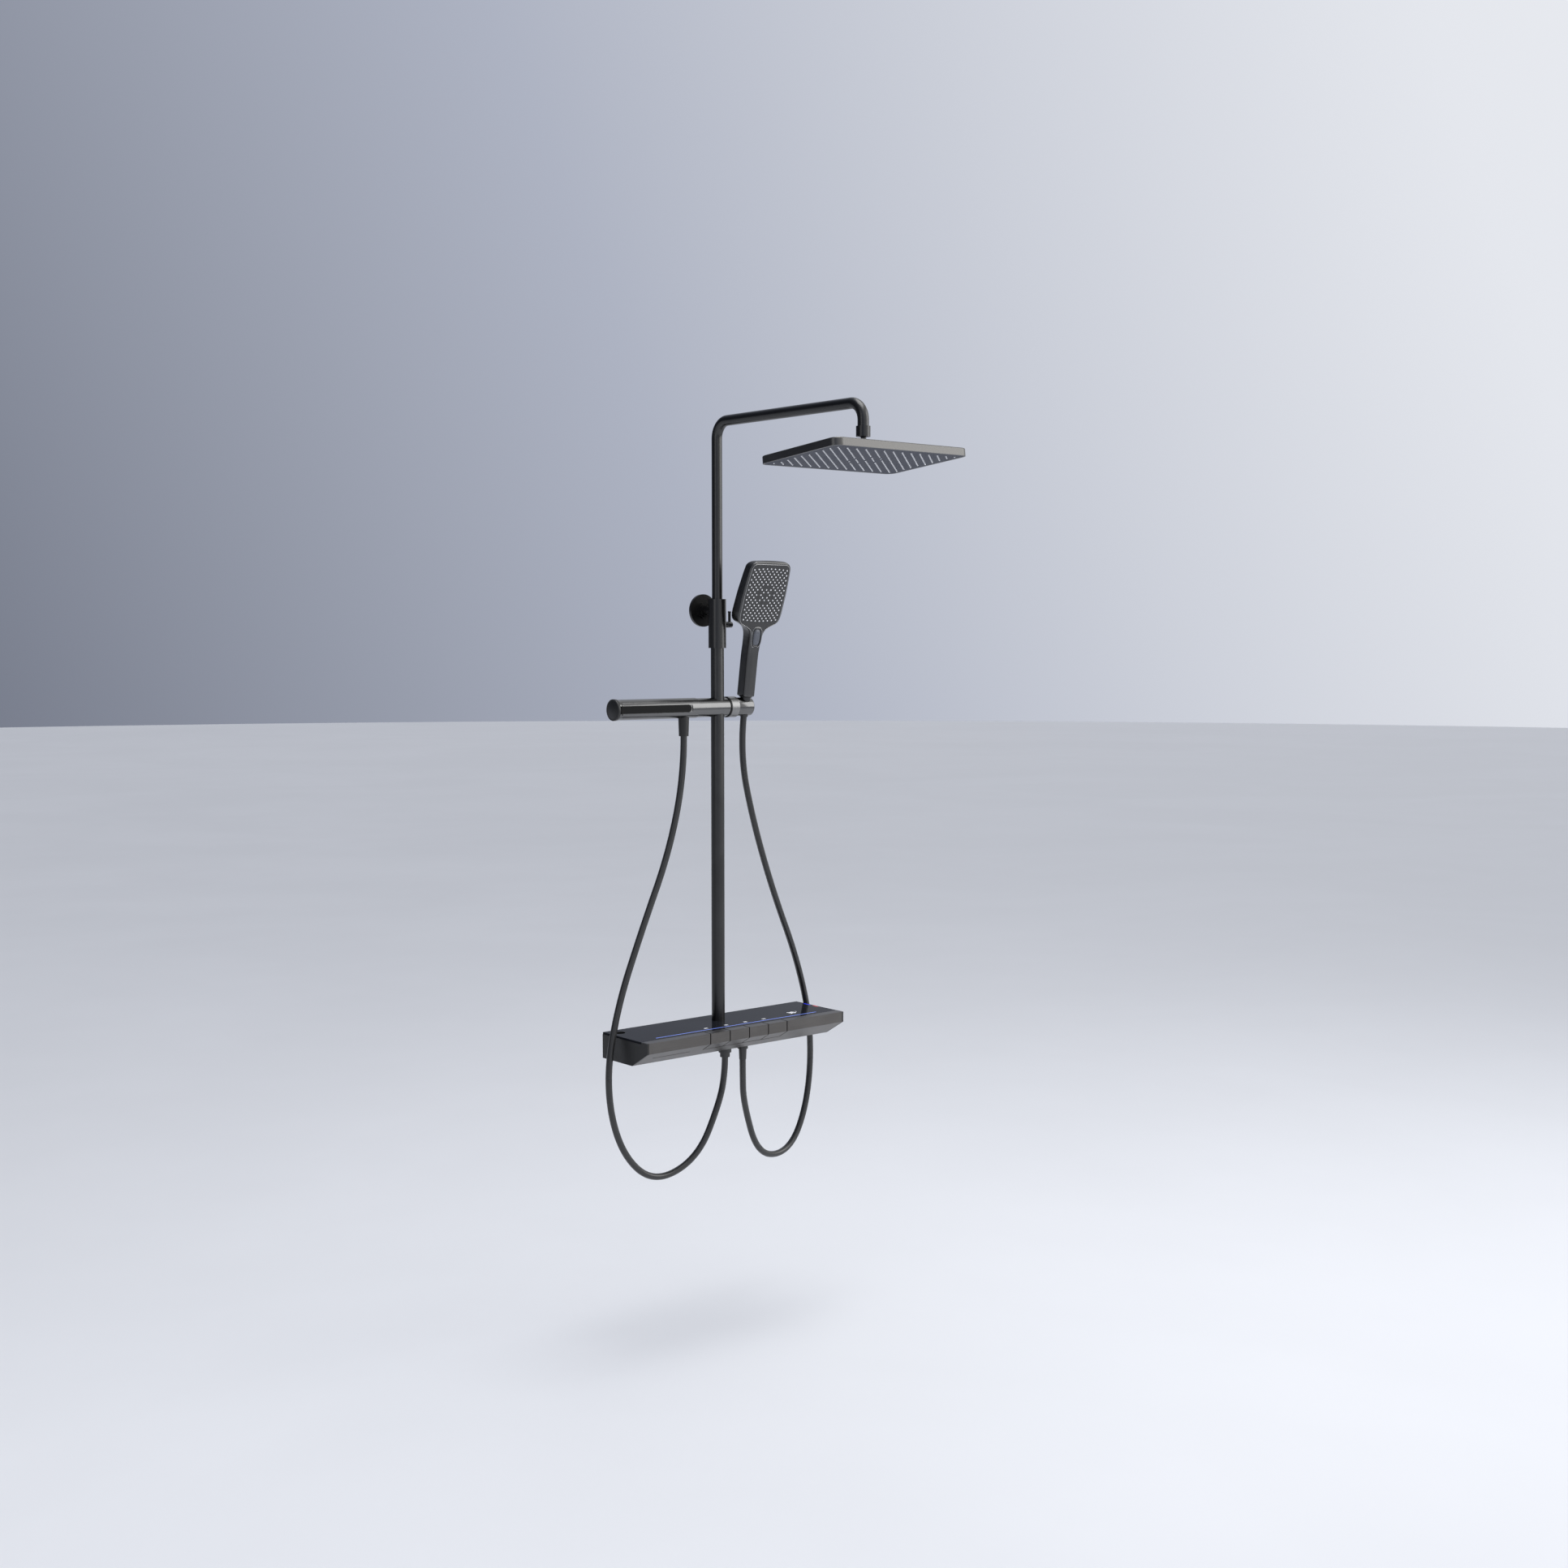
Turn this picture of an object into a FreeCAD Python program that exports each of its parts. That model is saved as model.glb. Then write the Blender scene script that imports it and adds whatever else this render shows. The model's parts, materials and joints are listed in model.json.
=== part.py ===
"""Rainfall shower column with a glass shelf, built as a parametric FreeCAD document.

Frame: millimetres. The wall is the plane Y = 0 and the column stands in front of it, at negative Y.
+X points right for someone who faces the wall, +Z points up. The origin is on the wall, halfway
between the hot and cold inlets behind the shelf. Every driving size is a cell of the sheet "Dims".
"""
import FreeCAD, Part
import Sketcher
import math
import os

from FreeCAD import Placement, Rotation, Vector

os.makedirs("parts", exist_ok=True)
doc = FreeCAD.newDocument("shower_column")

# ---------------------------------------------------------------- driving dimensions (mm, degrees)
DIMENSIONS = [
    # shelf
    ("shelf_long", 500), ("shelf_deep", 150), ("shelf_top", 25), ("shelf_floor", -26),
    ("face_low", 4), ("floor_deep", 99), ("skin", 3), ("glass_thick", 4), ("strip_deep", 20),
    ("back_gap", 3), ("cap_thick", 3), ("seam", 0.5), ("floor_top", -23),
    # keys
    ("key_pitch", 48.9), ("key_gap", 2.2), ("key_pivot_y", -84), ("key_pivot_z", 12),
    ("key_lip_y", -126.5), ("key_lip_z", -9.8), ("rod_radius", 2), ("plunger_y", -114),
    ("plunger_radius", 3), ("bore_gap", 0.05),
    # water path
    ("inlet_pitch", 150), ("inlet_radius", 13), ("thread_radius", 10.48), ("thread_long", 12),
    ("outlet_y", -75), ("gun_outlet_x", -3), ("hand_outlet_x", 43),
    ("gun_collar_radius", 13), ("gun_collar_tall", 10.5), ("gun_nut_radius", 10), ("gun_nut_tall", 9.5),
    ("hand_collar_radius", 10.75), ("hand_collar_tall", 9.5), ("ferrule_radius", 8.2),
    ("ferrule_tall", 22), ("hose_radius", 6.5),
    # riser, sleeve and arm
    ("riser_y", -50), ("riser_radius", 13.3), ("riser_bore", 11.8), ("arm_radius", 10.5),
    ("arm_bore", 9), ("arm_level", 1221), ("arm_reach", 428), ("bend_radius", 33),
    ("arm_tail", 625), ("arm_end", 1172), ("sleeve_low", 775), ("sleeve_high", 872),
    ("sleeve_radius", 17.75), ("sleeve_step", 806), ("flange_radius", 32.5), ("flange_thick", 6),
    ("flange_level", 850), ("lock_level", 821.5),
    # rain head
    ("ball_level", 1163.5), ("ball_radius", 8.5), ("seat_radius", 9.8), ("seat_cut", 5), ("nut_low", 1158), ("nut_high", 1177),
    ("nut_radius", 13.2), ("head_wide", 326), ("head_deep", 209), ("head_thick", 14.4),
    ("head_drop", 48.2), ("head_tilt", 5.6), ("head_corner", 17), ("face_inset", 4),
    # holder bar, spray gun and barrel
    ("bar_level", 657), ("bar_radius", 19), ("holder_left", -58), ("holder_right", 20.5),
    ("ring_radius", 21), ("ring_left", 22.9), ("barrel_left", 41.5), ("barrel_right", 81),
    ("barrel_radius", 18.7), ("gun_radius", 20), ("gun_left", -250.6), ("gun_cap_radius", 20.9),
    ("gun_cap_thick", 5.2), ("gun_hose_x", -85), ("relief_low", 602), ("gap", 0.3),
    # handset
    ("hand_x", 66), ("hand_y", -54.5), ("hand_lean", 8.5), ("handle_wide", 28),
    ("handle_deep", 26), ("handle_start", 22), ("washer_radius", 13.1),
    ("head_turn", 12.1), ("face_start_out", 19), ("face_start_up", 170.9), ("hand_head_wide", 110.6),
    ("hand_head_tall", 135), ("hand_head_thick", 26), ("hand_plate_thick", 4),
]
sheet = doc.addObject("Spreadsheet::Sheet", "Dims")
for row, (alias, value) in enumerate(DIMENSIONS, start=1):
    sheet.set(f"A{row}", alias)
    sheet.set(f"B{row}", str(value))
    sheet.setAlias(f"B{row}", alias)
doc.recompute()


def size(alias):
    """The value of one cell."""
    return float(sheet.get(alias))


def cells(text):
    """An expression in cell names, with each name pointed at the sheet."""
    words = sorted((alias for alias, _ in DIMENSIONS), key=len, reverse=True)
    out = []
    for token in text.replace("(", " ( ").replace(")", " ) ").split():
        out.append(f"Dims.{token}" if token in words else token)
    return " ".join(out)


# ---------------------------------------------------------------- primitives bound to the sheet
TO_X = Rotation(Vector(0, 1, 0), 90)
TO_FRONT = Rotation(Vector(1, 0, 0), 90)
UPRIGHT = Rotation()


def bind(obj, **properties):
    """Tie properties of an object to expressions in cell names."""
    for name, text in properties.items():
        obj.setExpression(name.replace("__", "."), cells(str(text)))
    return obj


def put(obj, x, y, z, turn=UPRIGHT):
    """Place an object: a turn, and a base point given as three expressions."""
    obj.Placement = Placement(Vector(), turn)
    return bind(obj, Placement__Base__x=x, Placement__Base__y=y, Placement__Base__z=z)


def cylinder(name, radius, height, x, y, z, turn=UPRIGHT):
    obj = doc.addObject("Part::Cylinder", name)
    return put(bind(obj, Radius=radius, Height=height), x, y, z, turn)


def cone(name, low, high, height, x, y, z, turn=UPRIGHT):
    obj = doc.addObject("Part::Cone", name)
    return put(bind(obj, Radius1=low, Radius2=high, Height=height), x, y, z, turn)


def block(name, wide, deep, tall, x, y, z, turn=UPRIGHT):
    """A box from the corner (x, y, z): wide along X, deep along Y, tall along Z before its turn."""
    obj = doc.addObject("Part::Box", name)
    return put(bind(obj, Length=wide, Width=deep, Height=tall), x, y, z, turn)


def ball(name, radius, x, y, z):
    obj = doc.addObject("Part::Sphere", name)
    return put(bind(obj, Radius=radius), x, y, z)


def fuse(name, *pieces):
    obj = doc.addObject("Part::MultiFuse", name)
    obj.Shapes = list(pieces)
    return obj


def cut(name, base, *tools):
    """base with every tool taken away."""
    obj = doc.addObject("Part::Cut", name)
    obj.Base = base
    obj.Tool = tools[0] if len(tools) == 1 else fuse(name + "_tools", *tools)
    return obj


def common(name, first, second):
    obj = doc.addObject("Part::Common", name)
    obj.Base = first
    obj.Tool = second
    return obj


def tube(name, radius, bore, height, x, y, z, turn=UPRIGHT):
    """A straight tube: a cylinder less its bore."""
    outer = cylinder(name + "_outer", radius, height, x, y, z, turn)
    inner = cylinder(name + "_inner", bore, height, x, y, z, turn)
    return cut(name, outer, inner)


def extrusion(name, outline, left, long):
    """A PartDesign body: an outline in the Y-Z plane, as expression pairs, padded along +X."""
    body = doc.addObject("PartDesign::Body", name)
    plane = [f for f in body.Origin.OriginFeatures if f.Role == "YZ_Plane"][0]
    sketch = body.newObject("Sketcher::SketchObject", name + "_outline")
    sketch.AttachmentSupport = [(plane, "")]
    sketch.MapMode = "FlatFace"
    spots = [tuple(float(doc_value(t)) for t in pair) for pair in outline]
    count = len(spots)
    for i in range(count):
        start = Vector(spots[i][0], spots[i][1], 0)
        end = Vector(spots[(i + 1) % count][0], spots[(i + 1) % count][1], 0)
        sketch.addGeometry(Part.LineSegment(start, end))
    for i in range(count):
        sketch.addConstraint(Sketcher.Constraint("Coincident", i, 2, (i + 1) % count, 1))
    for i, (across, up) in enumerate(outline):
        for kind, text, value in (("DistanceX", across, spots[i][0]), ("DistanceY", up, spots[i][1])):
            at = sketch.addConstraint(Sketcher.Constraint(kind, -1, 1, i, 1, value))
            sketch.setExpression(f"Constraints[{at}]", cells(text))
    pad = body.newObject("PartDesign::Pad", name + "_pad")
    pad.Profile = sketch
    bind(pad, Length=long)
    body.Tip = pad
    bind(body, Placement__Base__x=left)
    return body


def doc_value(text):
    """The number that an expression in cell names has now."""
    return FreeCAD.Units.Quantity(str(sheet.evalExpression(cells(text)))).Value


def rounded_box(name, wide, deep, tall, corner, edge):
    """A PartDesign body: a box centred on X and Y, standing on Z = 0, upright edges rounded."""
    body = doc.addObject("PartDesign::Body", name)
    box = body.newObject("PartDesign::AdditiveBox", name + "_box")
    bind(box, Length=wide, Width=deep, Height=tall)
    box.AttachmentSupport = [([f for f in body.Origin.OriginFeatures if f.Role == "XY_Plane"][0], "")]
    box.MapMode = "FlatFace"
    bind(box, AttachmentOffset__Base__x=f"0 - ( {wide} ) / 2", AttachmentOffset__Base__y=f"0 - ( {deep} ) / 2")
    doc.recompute()
    rounds = body.newObject("PartDesign::Fillet", name + "_corners")
    rounds.Base = (box, upright_edges(box.Shape))
    bind(rounds, Radius=corner)
    body.Tip = rounds
    if edge:
        doc.recompute()
        soft = body.newObject("PartDesign::Fillet", name + "_edge")
        soft.Base = (rounds, top_edges(rounds.Shape))
        bind(soft, Radius=edge)
        body.Tip = soft
    return body


def upright_edges(shape):
    """Names of the straight edges that stand along Z."""
    names = []
    for i, edge in enumerate(shape.Edges, start=1):
        low, high = edge.BoundBox.ZMin, edge.BoundBox.ZMax
        if high - low > 0.9 * shape.BoundBox.ZLength and edge.BoundBox.XLength + edge.BoundBox.YLength < 1e-6:
            names.append(f"Edge{i}")
    return names


def top_edges(shape):
    """Names of the edges that lie in the highest plane."""
    top = shape.BoundBox.ZMax
    return [f"Edge{i}" for i, e in enumerate(shape.Edges, start=1) if e.BoundBox.ZMin > top - 1e-4]


SUB_PARTS = []


def finish(obj, label):
    """Name a finished sub-part; its label is also its file's name."""
    obj.Label = label
    SUB_PARTS.append(obj)
    return obj


# ---------------------------------------------------------------- the shelf
CHAMFER_DOWN = math.degrees(math.atan2(size("shelf_floor") - size("face_low"),
                                       size("shelf_deep") - size("floor_deep")))
KEY_CENTRES = [f"key_pitch * ( {n} )" for n in (-1.5, -0.5, 0.5, 1.5)]


def shelf_body():
    """Extruded aluminium channel: floor, chamfer, front face, front strip and a ledge for the glass."""
    outline = [
        ("0 - back_gap", "shelf_floor"), ("0 - floor_deep", "shelf_floor"), ("0 - shelf_deep", "face_low"),
        ("0 - shelf_deep", "shelf_top"), ("strip_deep - shelf_deep", "shelf_top"),
        ("strip_deep - shelf_deep", "shelf_top - glass_thick"),
        ("strip_deep - shelf_deep + 10", "shelf_top - glass_thick"),
        ("strip_deep - shelf_deep + 10", "shelf_top - glass_thick - skin"),
        ("skin - shelf_deep", "shelf_top - glass_thick - skin"), ("skin - shelf_deep", "face_low + 1.7"),
        ("0 - floor_deep + 0.8", "floor_top"), ("0 - back_gap - skin", "floor_top"),
        ("0 - back_gap - skin", "shelf_top - glass_thick"), ("0 - back_gap", "shelf_top - glass_thick"),
    ]
    profile = extrusion("channel", outline, "0 - shelf_long / 2 + cap_thick + seam",
                        "shelf_long - 2 * cap_thick - 2 * seam")
    key_bay = extrusion("key_bay", [
        ("0 - shelf_deep - 1", "shelf_top + 1"), ("strip_deep - shelf_deep + 11", "shelf_top + 1"),
        ("strip_deep - shelf_deep + 11", "key_lip_z + 4"), ("key_lip_y + 3.9", "key_lip_z + 1.8"),
        ("key_lip_y + 0.9", "key_lip_z - 3.3"), ("0 - shelf_deep - 1", "face_low - 4"),
    ], "0 - 2 * key_pitch - key_gap / 2", "4 * key_pitch + key_gap")
    holes = [cylinder(f"inlet_hole_{n}", "inlet_radius + 2", "20", f"inlet_pitch * ( {n} )", "5", "0", TO_FRONT)
             for n in (-0.5, 0.5)]
    drops = [cylinder(f"drop_hole_{i}", "9.2", "10", x, "outlet_y", "shelf_floor - 3")
             for i, x in enumerate(("gun_outlet_x", "hand_outlet_x"))]
    slit = spout_box("slit", 90, 2.4, -6, 12)
    return finish(cut("shelf", profile, key_bay, *holes, *drops, slit), "shelf_body")


def spout_box(name, long, wide, low, high):
    """A bar laid along the chamfer's slit, from low to high along the chamfer's inner normal."""
    y = (size("key_lip_y") + 1.0)
    z = size("face_low") + (y + size("shelf_deep")) * math.tan(math.radians(CHAMFER_DOWN))
    turn = Rotation(Vector(1, 0, 0), CHAMFER_DOWN)
    corner = turn.multVec(Vector(0, -wide / 2, low))
    return block(name, str(long), str(wide), str(high - low), str(-175.5 - long / 2),
                 str(y + corner.y), str(z + corner.z), turn)


def glass_top():
    """Black tempered glass, with the riser hole, the accessory hole and the slot of the light bar."""
    plate = block("glass", "shelf_long - 1", "shelf_deep - strip_deep - 1.8", "glass_thick",
                  "0 - shelf_long / 2 + 0.5", "strip_deep - shelf_deep + 0.3", "shelf_top - glass_thick")
    riser = cylinder("glass_riser_hole", "riser_radius + 0.15", "20", "0", "riser_y", "shelf_top - 10")
    cup = cylinder("glass_cup_hole", "13.1", "20", "-229", "-28", "shelf_top - 10")
    slot = block("glass_slot", "410", "3.2", "20", "-205", "-117.1", "shelf_top - 10")
    return finish(cut("glass_plate", plate, riser, cup, slot), "glass_top")


def end_cap(side, label):
    """Cast end cap: the shelf's outline, stepped down under the glass."""
    left = "0 - shelf_long / 2" if side < 0 else "shelf_long / 2 - cap_thick"
    cap = extrusion(label + "_plate", [
        ("0 - 1", "shelf_floor"), ("0 - floor_deep", "shelf_floor"), ("0 - shelf_deep", "face_low"),
        ("0 - shelf_deep", "shelf_top"), ("strip_deep - shelf_deep", "shelf_top"),
        ("strip_deep - shelf_deep", "shelf_top - glass_thick"), ("0 - 1", "shelf_top - glass_thick"),
    ], left, "cap_thick")
    if side < 0:
        hole = cylinder(label + "_hole", "15.75", "20", "0 - shelf_long / 2 - 5", "-52", "-3", TO_X)
    else:
        hole = cylinder(label + "_hole", "8", "20", "shelf_long / 2 - 10", "-72", "0", TO_X)
    return finish(cut(label + "_cut", cap, hole), label)


def key(n, centre):
    """One piano key: strip, face and chamfer lip in one shell, with an arm back to its pivot barrel."""
    shell = extrusion(f"key_shell_{n}", [
        ("strip_deep - shelf_deep - 0.6", "shelf_top"), ("0 - shelf_deep", "shelf_top"),
        ("0 - shelf_deep", "face_low"), ("key_lip_y", "key_lip_z"),
        ("key_lip_y + 1.5", "key_lip_z + 2.6"), ("skin - shelf_deep", "face_low + 1.7"),
        ("skin - shelf_deep", "shelf_top - skin"), ("strip_deep - shelf_deep - 0.6", "shelf_top - skin"),
    ], f"{centre} - ( key_pitch - key_gap ) / 2", "key_pitch - key_gap")
    arm = extrusion(f"key_arm_{n}", [
        ("key_pivot_y", "key_pivot_z"), ("key_pivot_y - 52", "key_pivot_z"),
        ("key_pivot_y - 52", "shelf_top - skin + 0.5"), ("strip_deep - shelf_deep - 1", "shelf_top - skin + 0.5"),
        ("strip_deep - shelf_deep - 1", "key_pivot_z + 5"), ("key_pivot_y", "key_pivot_z + 5"),
    ], f"{centre} - 8", "16")
    barrel = cylinder(f"key_barrel_{n}", "5", "16", f"{centre} - 8", "key_pivot_y", "key_pivot_z", TO_X)
    bore = cylinder(f"key_bore_{n}", "rod_radius + bore_gap", "20", f"{centre} - 10", "key_pivot_y",
                    "key_pivot_z", TO_X)
    finish(cut(f"key_cut_{n}", fuse(f"key_solid_{n}", shell, arm, barrel), bore), f"key_{n}")
    finish(cylinder(f"plunger_rod_{n}", "plunger_radius", "16", centre, "plunger_y", "key_pivot_z - 16"),
           f"plunger_{n}")


def valve_block():
    """Four-way push valve under the keys: a brass bar on a web, with a blind bore for each plunger."""
    bar = block("valve_bar", "194", "23.5", "12.5", "-97", "-121", "-8.5")
    web = block("valve_web", "194", "7.5", "4 - floor_top", "-97", "-97.5", "floor_top")
    bores = [cylinder(f"valve_bore_{n}", "plunger_radius + 1", "20", x, "plunger_y", "-6")
             for n, x in enumerate(KEY_CENTRES)]
    return finish(cut("valve_cut", fuse("valve_solid", bar, web), *bores), "push_valve_block")


def key_rod():
    """Steel rod through the four key barrels, carried by three posts that stand on the shelf's floor."""
    rod = cylinder("rod", "rod_radius", "4 * key_pitch + 8", "0 - 2 * key_pitch - 4", "key_pivot_y",
                   "key_pivot_z", TO_X)
    posts = [block(f"rod_post_{n}", "6", "8", "key_pivot_z - floor_top + 5", f"{x} - 3", "key_pivot_y - 4",
                   "floor_top") for n, x in enumerate(("0 - 2 * key_pitch - 1", "2 * key_pitch + 1"))]
    return finish(fuse("rod_and_posts", rod, *posts), "key_rod")


def shelf_details():
    """Small pieces let into the glass, the chamfer and the left cap."""
    cup = cut("cup", cylinder("cup_outer", "13", "16", "-229", "-28", "shelf_top - 16"),
              cylinder("cup_inner", "12", "16", "-229", "-28", "shelf_top - 14"))
    finish(cup, "cup_insert")
    finish(block("led", "409.6", "2.9", "glass_thick + 2", "-204.8", "-116.95", "shelf_top - glass_thick - 2"),
           "led_bar")
    finish(cylinder("plug", "15.5", "cap_thick", "0 - shelf_long / 2", "-52", "-3", TO_X), "left_service_plug")
    finish(spout_box("spout", 89.6, 2.1, 0.8, 6), "spout_insert")
    finish(block("display", "46", "18", "6", "139", "-99", "shelf_top - glass_thick - 6"), "display_module")


# ---------------------------------------------------------------- water path and wall fixings
MANIFOLD_LEFT, MANIFOLD_RIGHT, MANIFOLD_TOP = -110, 150, 8


def manifold():
    """Brass manifold on the shelf's floor: two inlets behind, two drops below, the riser's socket on top."""
    bar = block("manifold_bar", str(MANIFOLD_RIGHT - MANIFOLD_LEFT), "44", str(MANIFOLD_TOP - 3) + " - floor_top",
                str(MANIFOLD_LEFT), "-78", "floor_top + 3")
    feet = block("manifold_feet", "200", "20", "3", "-100", "-60", "floor_top")
    socket = cylinder("manifold_socket", "riser_radius", "20", "0", "riser_y", "-4")
    riser_port = cylinder("manifold_port", "8", "20", "0", "riser_y", "-16")
    inlets = [cylinder(f"manifold_inlet_{n}", "7", "20", f"inlet_pitch * ( {n} )", "-30", "0", TO_FRONT)
              for n in (-0.5, 0.5)]
    return finish(cut("manifold_cut", fuse("manifold_solid", bar, feet), socket, riser_port, *inlets),
                  "valve_manifold")


def inlet_unions():
    """Hot and cold unions between the wall pipes and the manifold, with an inside pipe thread at the wall."""
    unions = []
    for label, side in (("hot", "-0.5"), ("cold", "0.5")):
        x = f"inlet_pitch * ( {side} )"
        body = cylinder(label + "_body", "inlet_radius", "33.5", x, "-0.5", "0", TO_FRONT)
        thread = cylinder(label + "_thread", "thread_radius", "thread_long", x, "-0.5", "0", TO_FRONT)
        bore = cylinder(label + "_bore", "7", "40", x, "0", "0", TO_FRONT)
        unions.append(cut(label + "_cut", body, thread, bore))
    finish(fuse("unions", *unions), "inlet_unions")


WALL_SCREWS = [(-180, -14), (-180, 12), (180, -14), (180, 12)]


def wall_plate():
    """Steel plate on the wall behind the shelf, with its four screw holes."""
    plate = block("plate", "420", "back_gap", "38", "-210", "0 - back_gap", "-20")
    windows = [cylinder(f"plate_window_{n}", "inlet_radius + 2", "20", f"inlet_pitch * ( {n} )", "5", "0", TO_FRONT)
               for n in (-0.5, 0.5)]
    holes = [cylinder(f"plate_hole_{n}", "2.75", "20", str(x), "5", str(z), TO_FRONT)
             for n, (x, z) in enumerate(WALL_SCREWS)]
    finish(cut("plate_cut", plate, *windows, *holes), "wall_plate")


def inside_the_shelf():
    """Thermostatic cartridge to the right of the manifold and the water turbine to its left."""
    barrel = cylinder("cartridge_barrel", "14", "95.5", str(MANIFOLD_RIGHT), "-72", "0", TO_X)
    spindle = cylinder("cartridge_spindle", "4", "20", str(MANIFOLD_RIGHT + 95.5), "-72", "0", TO_X)
    finish(fuse("cartridge", barrel, spindle), "thermostatic_cartridge")
    case = cylinder("turbine_case", "16", "60", str(MANIFOLD_LEFT - 60), "-60", "-4", TO_X)
    lead = block("turbine_foot", "40", "12", "6", str(MANIFOLD_LEFT - 50), "-66", "floor_top")
    finish(fuse("turbine", case, lead), "turbine_generator")
    grip = cylinder("knob_grip", "16", "22.5", "shelf_long / 2 + gap", "-72", "0", TO_X)
    bore = cylinder("knob_bore", "4 + bore_gap", "16", "shelf_long / 2", "-72", "0", TO_X)
    pointer = block("knob_pointer", "12", "2", "3", "shelf_long / 2 + 8", "-73", "14.5")
    finish(cut("knob_cut", fuse("knob_solid", grip, pointer), bore), "temperature_knob")


def outlets():
    """Collars under the shelf and the nuts at the shelf end of each hose."""
    for name, x, radius, tall in (("gun_outlet_collar", "gun_outlet_x", "gun_collar_radius", "gun_collar_tall"),
                                  ("handset_outlet_collar", "hand_outlet_x", "hand_collar_radius",
                                   "hand_collar_tall")):
        ring = cylinder(name + "_ring", radius, tall, x, "outlet_y", f"shelf_floor - {tall}")
        spigot = cylinder(name + "_spigot", "9", "6", x, "outlet_y", "shelf_floor")
        bore = cylinder(name + "_bore", "4.5", "40", x, "outlet_y", "shelf_floor - 20")
        finish(cut(name + "_cut", fuse(name + "_solid", ring, spigot), bore), name)
    finish(cylinder("gun_nut_body", "gun_nut_radius", "gun_nut_tall", "gun_outlet_x", "outlet_y",
                    "shelf_floor - gun_collar_tall - gun_nut_tall"), "gun_hose_nut")
    finish(cone("ferrule", "hose_radius + 0.7", "ferrule_radius", "ferrule_tall", "hand_outlet_x", "outlet_y",
                "shelf_floor - hand_collar_tall - ferrule_tall"), "handset_hose_nut")


# ---------------------------------------------------------------- hoses
GUN_HOSE = [
    (-85, -50, 601.8), (-85, -50, 525), (-122, -51, 377), (-190, -53, 230), (-254, -55, 78), (-283, -58, -66),
    (-254, -61, -200), (-175, -64, -278), (-67, -68, -245), (-14, -73, -135), (-3, -75, -75), (-3, -75, -46.2),
]
HAND_HOSE = [
    (66, -51.51, 637.02), (66, -40.13, 560.9), (102, -35, 427), (161, -27, 276), (239, -19, 114), (281, -14, -35),
    (268, -19, -186), (207, -32, -285), (110, -43, -278), (54, -63, -150), (43, -75, -85), (43, -75, -57.7),
]
ARC_SHARE = 0.45


def hose(name, label, route):
    """A hanging hose: straight runs joined by tangent arcs as large as the runs allow."""
    spots = [Vector(*p) for p in route]
    edges, start, radii = [], spots[0], []
    for before, corner, after in zip(spots, spots[1:], spots[2:]):
        way_in, way_out = (corner - before), (after - corner)
        reach = ARC_SHARE * min(way_in.Length, way_out.Length)
        way_in.normalize()
        way_out.normalize()
        turn = way_in.getAngle(way_out)
        radius = reach / math.tan(turn / 2)
        radii.append(radius)
        first, last = corner - way_in * reach, corner + way_out * reach
        inward = (way_out - way_in)
        inward.normalize()
        middle = corner + inward * (radius / math.cos(turn / 2) - radius)
        edges.append(Part.LineSegment(start, first).toShape())
        edges.append(Part.Arc(first, middle, last).toShape())
        start = last
    edges.append(Part.LineSegment(start, spots[-1]).toShape())
    path = Part.Wire(edges)
    section = Part.Wire(Part.makeCircle(size("hose_radius"), spots[0], spots[1] - spots[0]))
    solid = path.makePipeShell([section], True, False)
    ideal = path.Length * math.pi * size("hose_radius") ** 2
    print(label, "length", round(path.Length), "volume ratio", round(solid.Volume / ideal, 4),
          "radii", [round(r) for r in radii])
    obj = doc.addObject("Part::Feature", name)
    obj.Shape = solid
    obj.Placement = Placement()
    return finish(obj, label)


# ---------------------------------------------------------------- riser, sleeve and wall flange
def riser():
    """Lower riser tube with its nut and seal, and the sleeve that joins it to the wall and the arm."""
    finish(tube("riser", "riser_radius", "riser_bore", "sleeve_step + 4", "0", "riser_y", "-4"), "riser_lower")
    ring = cylinder("base_ring", "20", f"shelf_top - glass_thick - {MANIFOLD_TOP}", "0", "riser_y",
                    str(MANIFOLD_TOP))
    hole = cylinder("base_hole", "riser_radius + bore_gap", "30", "0", "riser_y", "0")
    groove = cylinder("base_groove", "riser_radius + 2.9", "3", "0", "riser_y", "13")
    finish(cut("base_cut", ring, hole, groove), "riser_base_nut")
    seal = doc.addObject("Part::Torus", "seal")
    put(bind(seal, Radius1="riser_radius + 1.4", Radius2="1.3"), "0", "riser_y", "14.5")
    finish(seal, "riser_o_ring")
    body = cylinder("sleeve_body", "sleeve_radius", "sleeve_high - sleeve_low", "0", "riser_y", "sleeve_low")
    low = cylinder("sleeve_low_bore", "riser_radius", "sleeve_step - sleeve_low", "0", "riser_y", "sleeve_low")
    high = cylinder("sleeve_high_bore", "arm_radius + bore_gap", "200", "0", "riser_y", "sleeve_low")
    pocket = cylinder("sleeve_pocket", "9", "10", "0", "-25.5", "flange_level", TO_FRONT)
    thread = cylinder("sleeve_thread", "3 + bore_gap", "20", "5", "riser_y", "lock_level", TO_X)
    finish(cut("sleeve_cut", body, low, high, pocket, thread), "sleeve")
    finish(tube("flange", "flange_radius", "9", "flange_thick", "0", "0", "flange_level", TO_FRONT), "wall_flange")
    stem = fuse("stem", cylinder("stem_rod", "9", "35.5", "0", "0", "flange_level", TO_FRONT),
                cylinder("stem_ring", "16", "6", "0", "0 - flange_thick", "flange_level", TO_FRONT),
                cylinder("stem_step", "12", "5", "0", "-12", "flange_level", TO_FRONT))
    finish(stem, "wall_stem")


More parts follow.
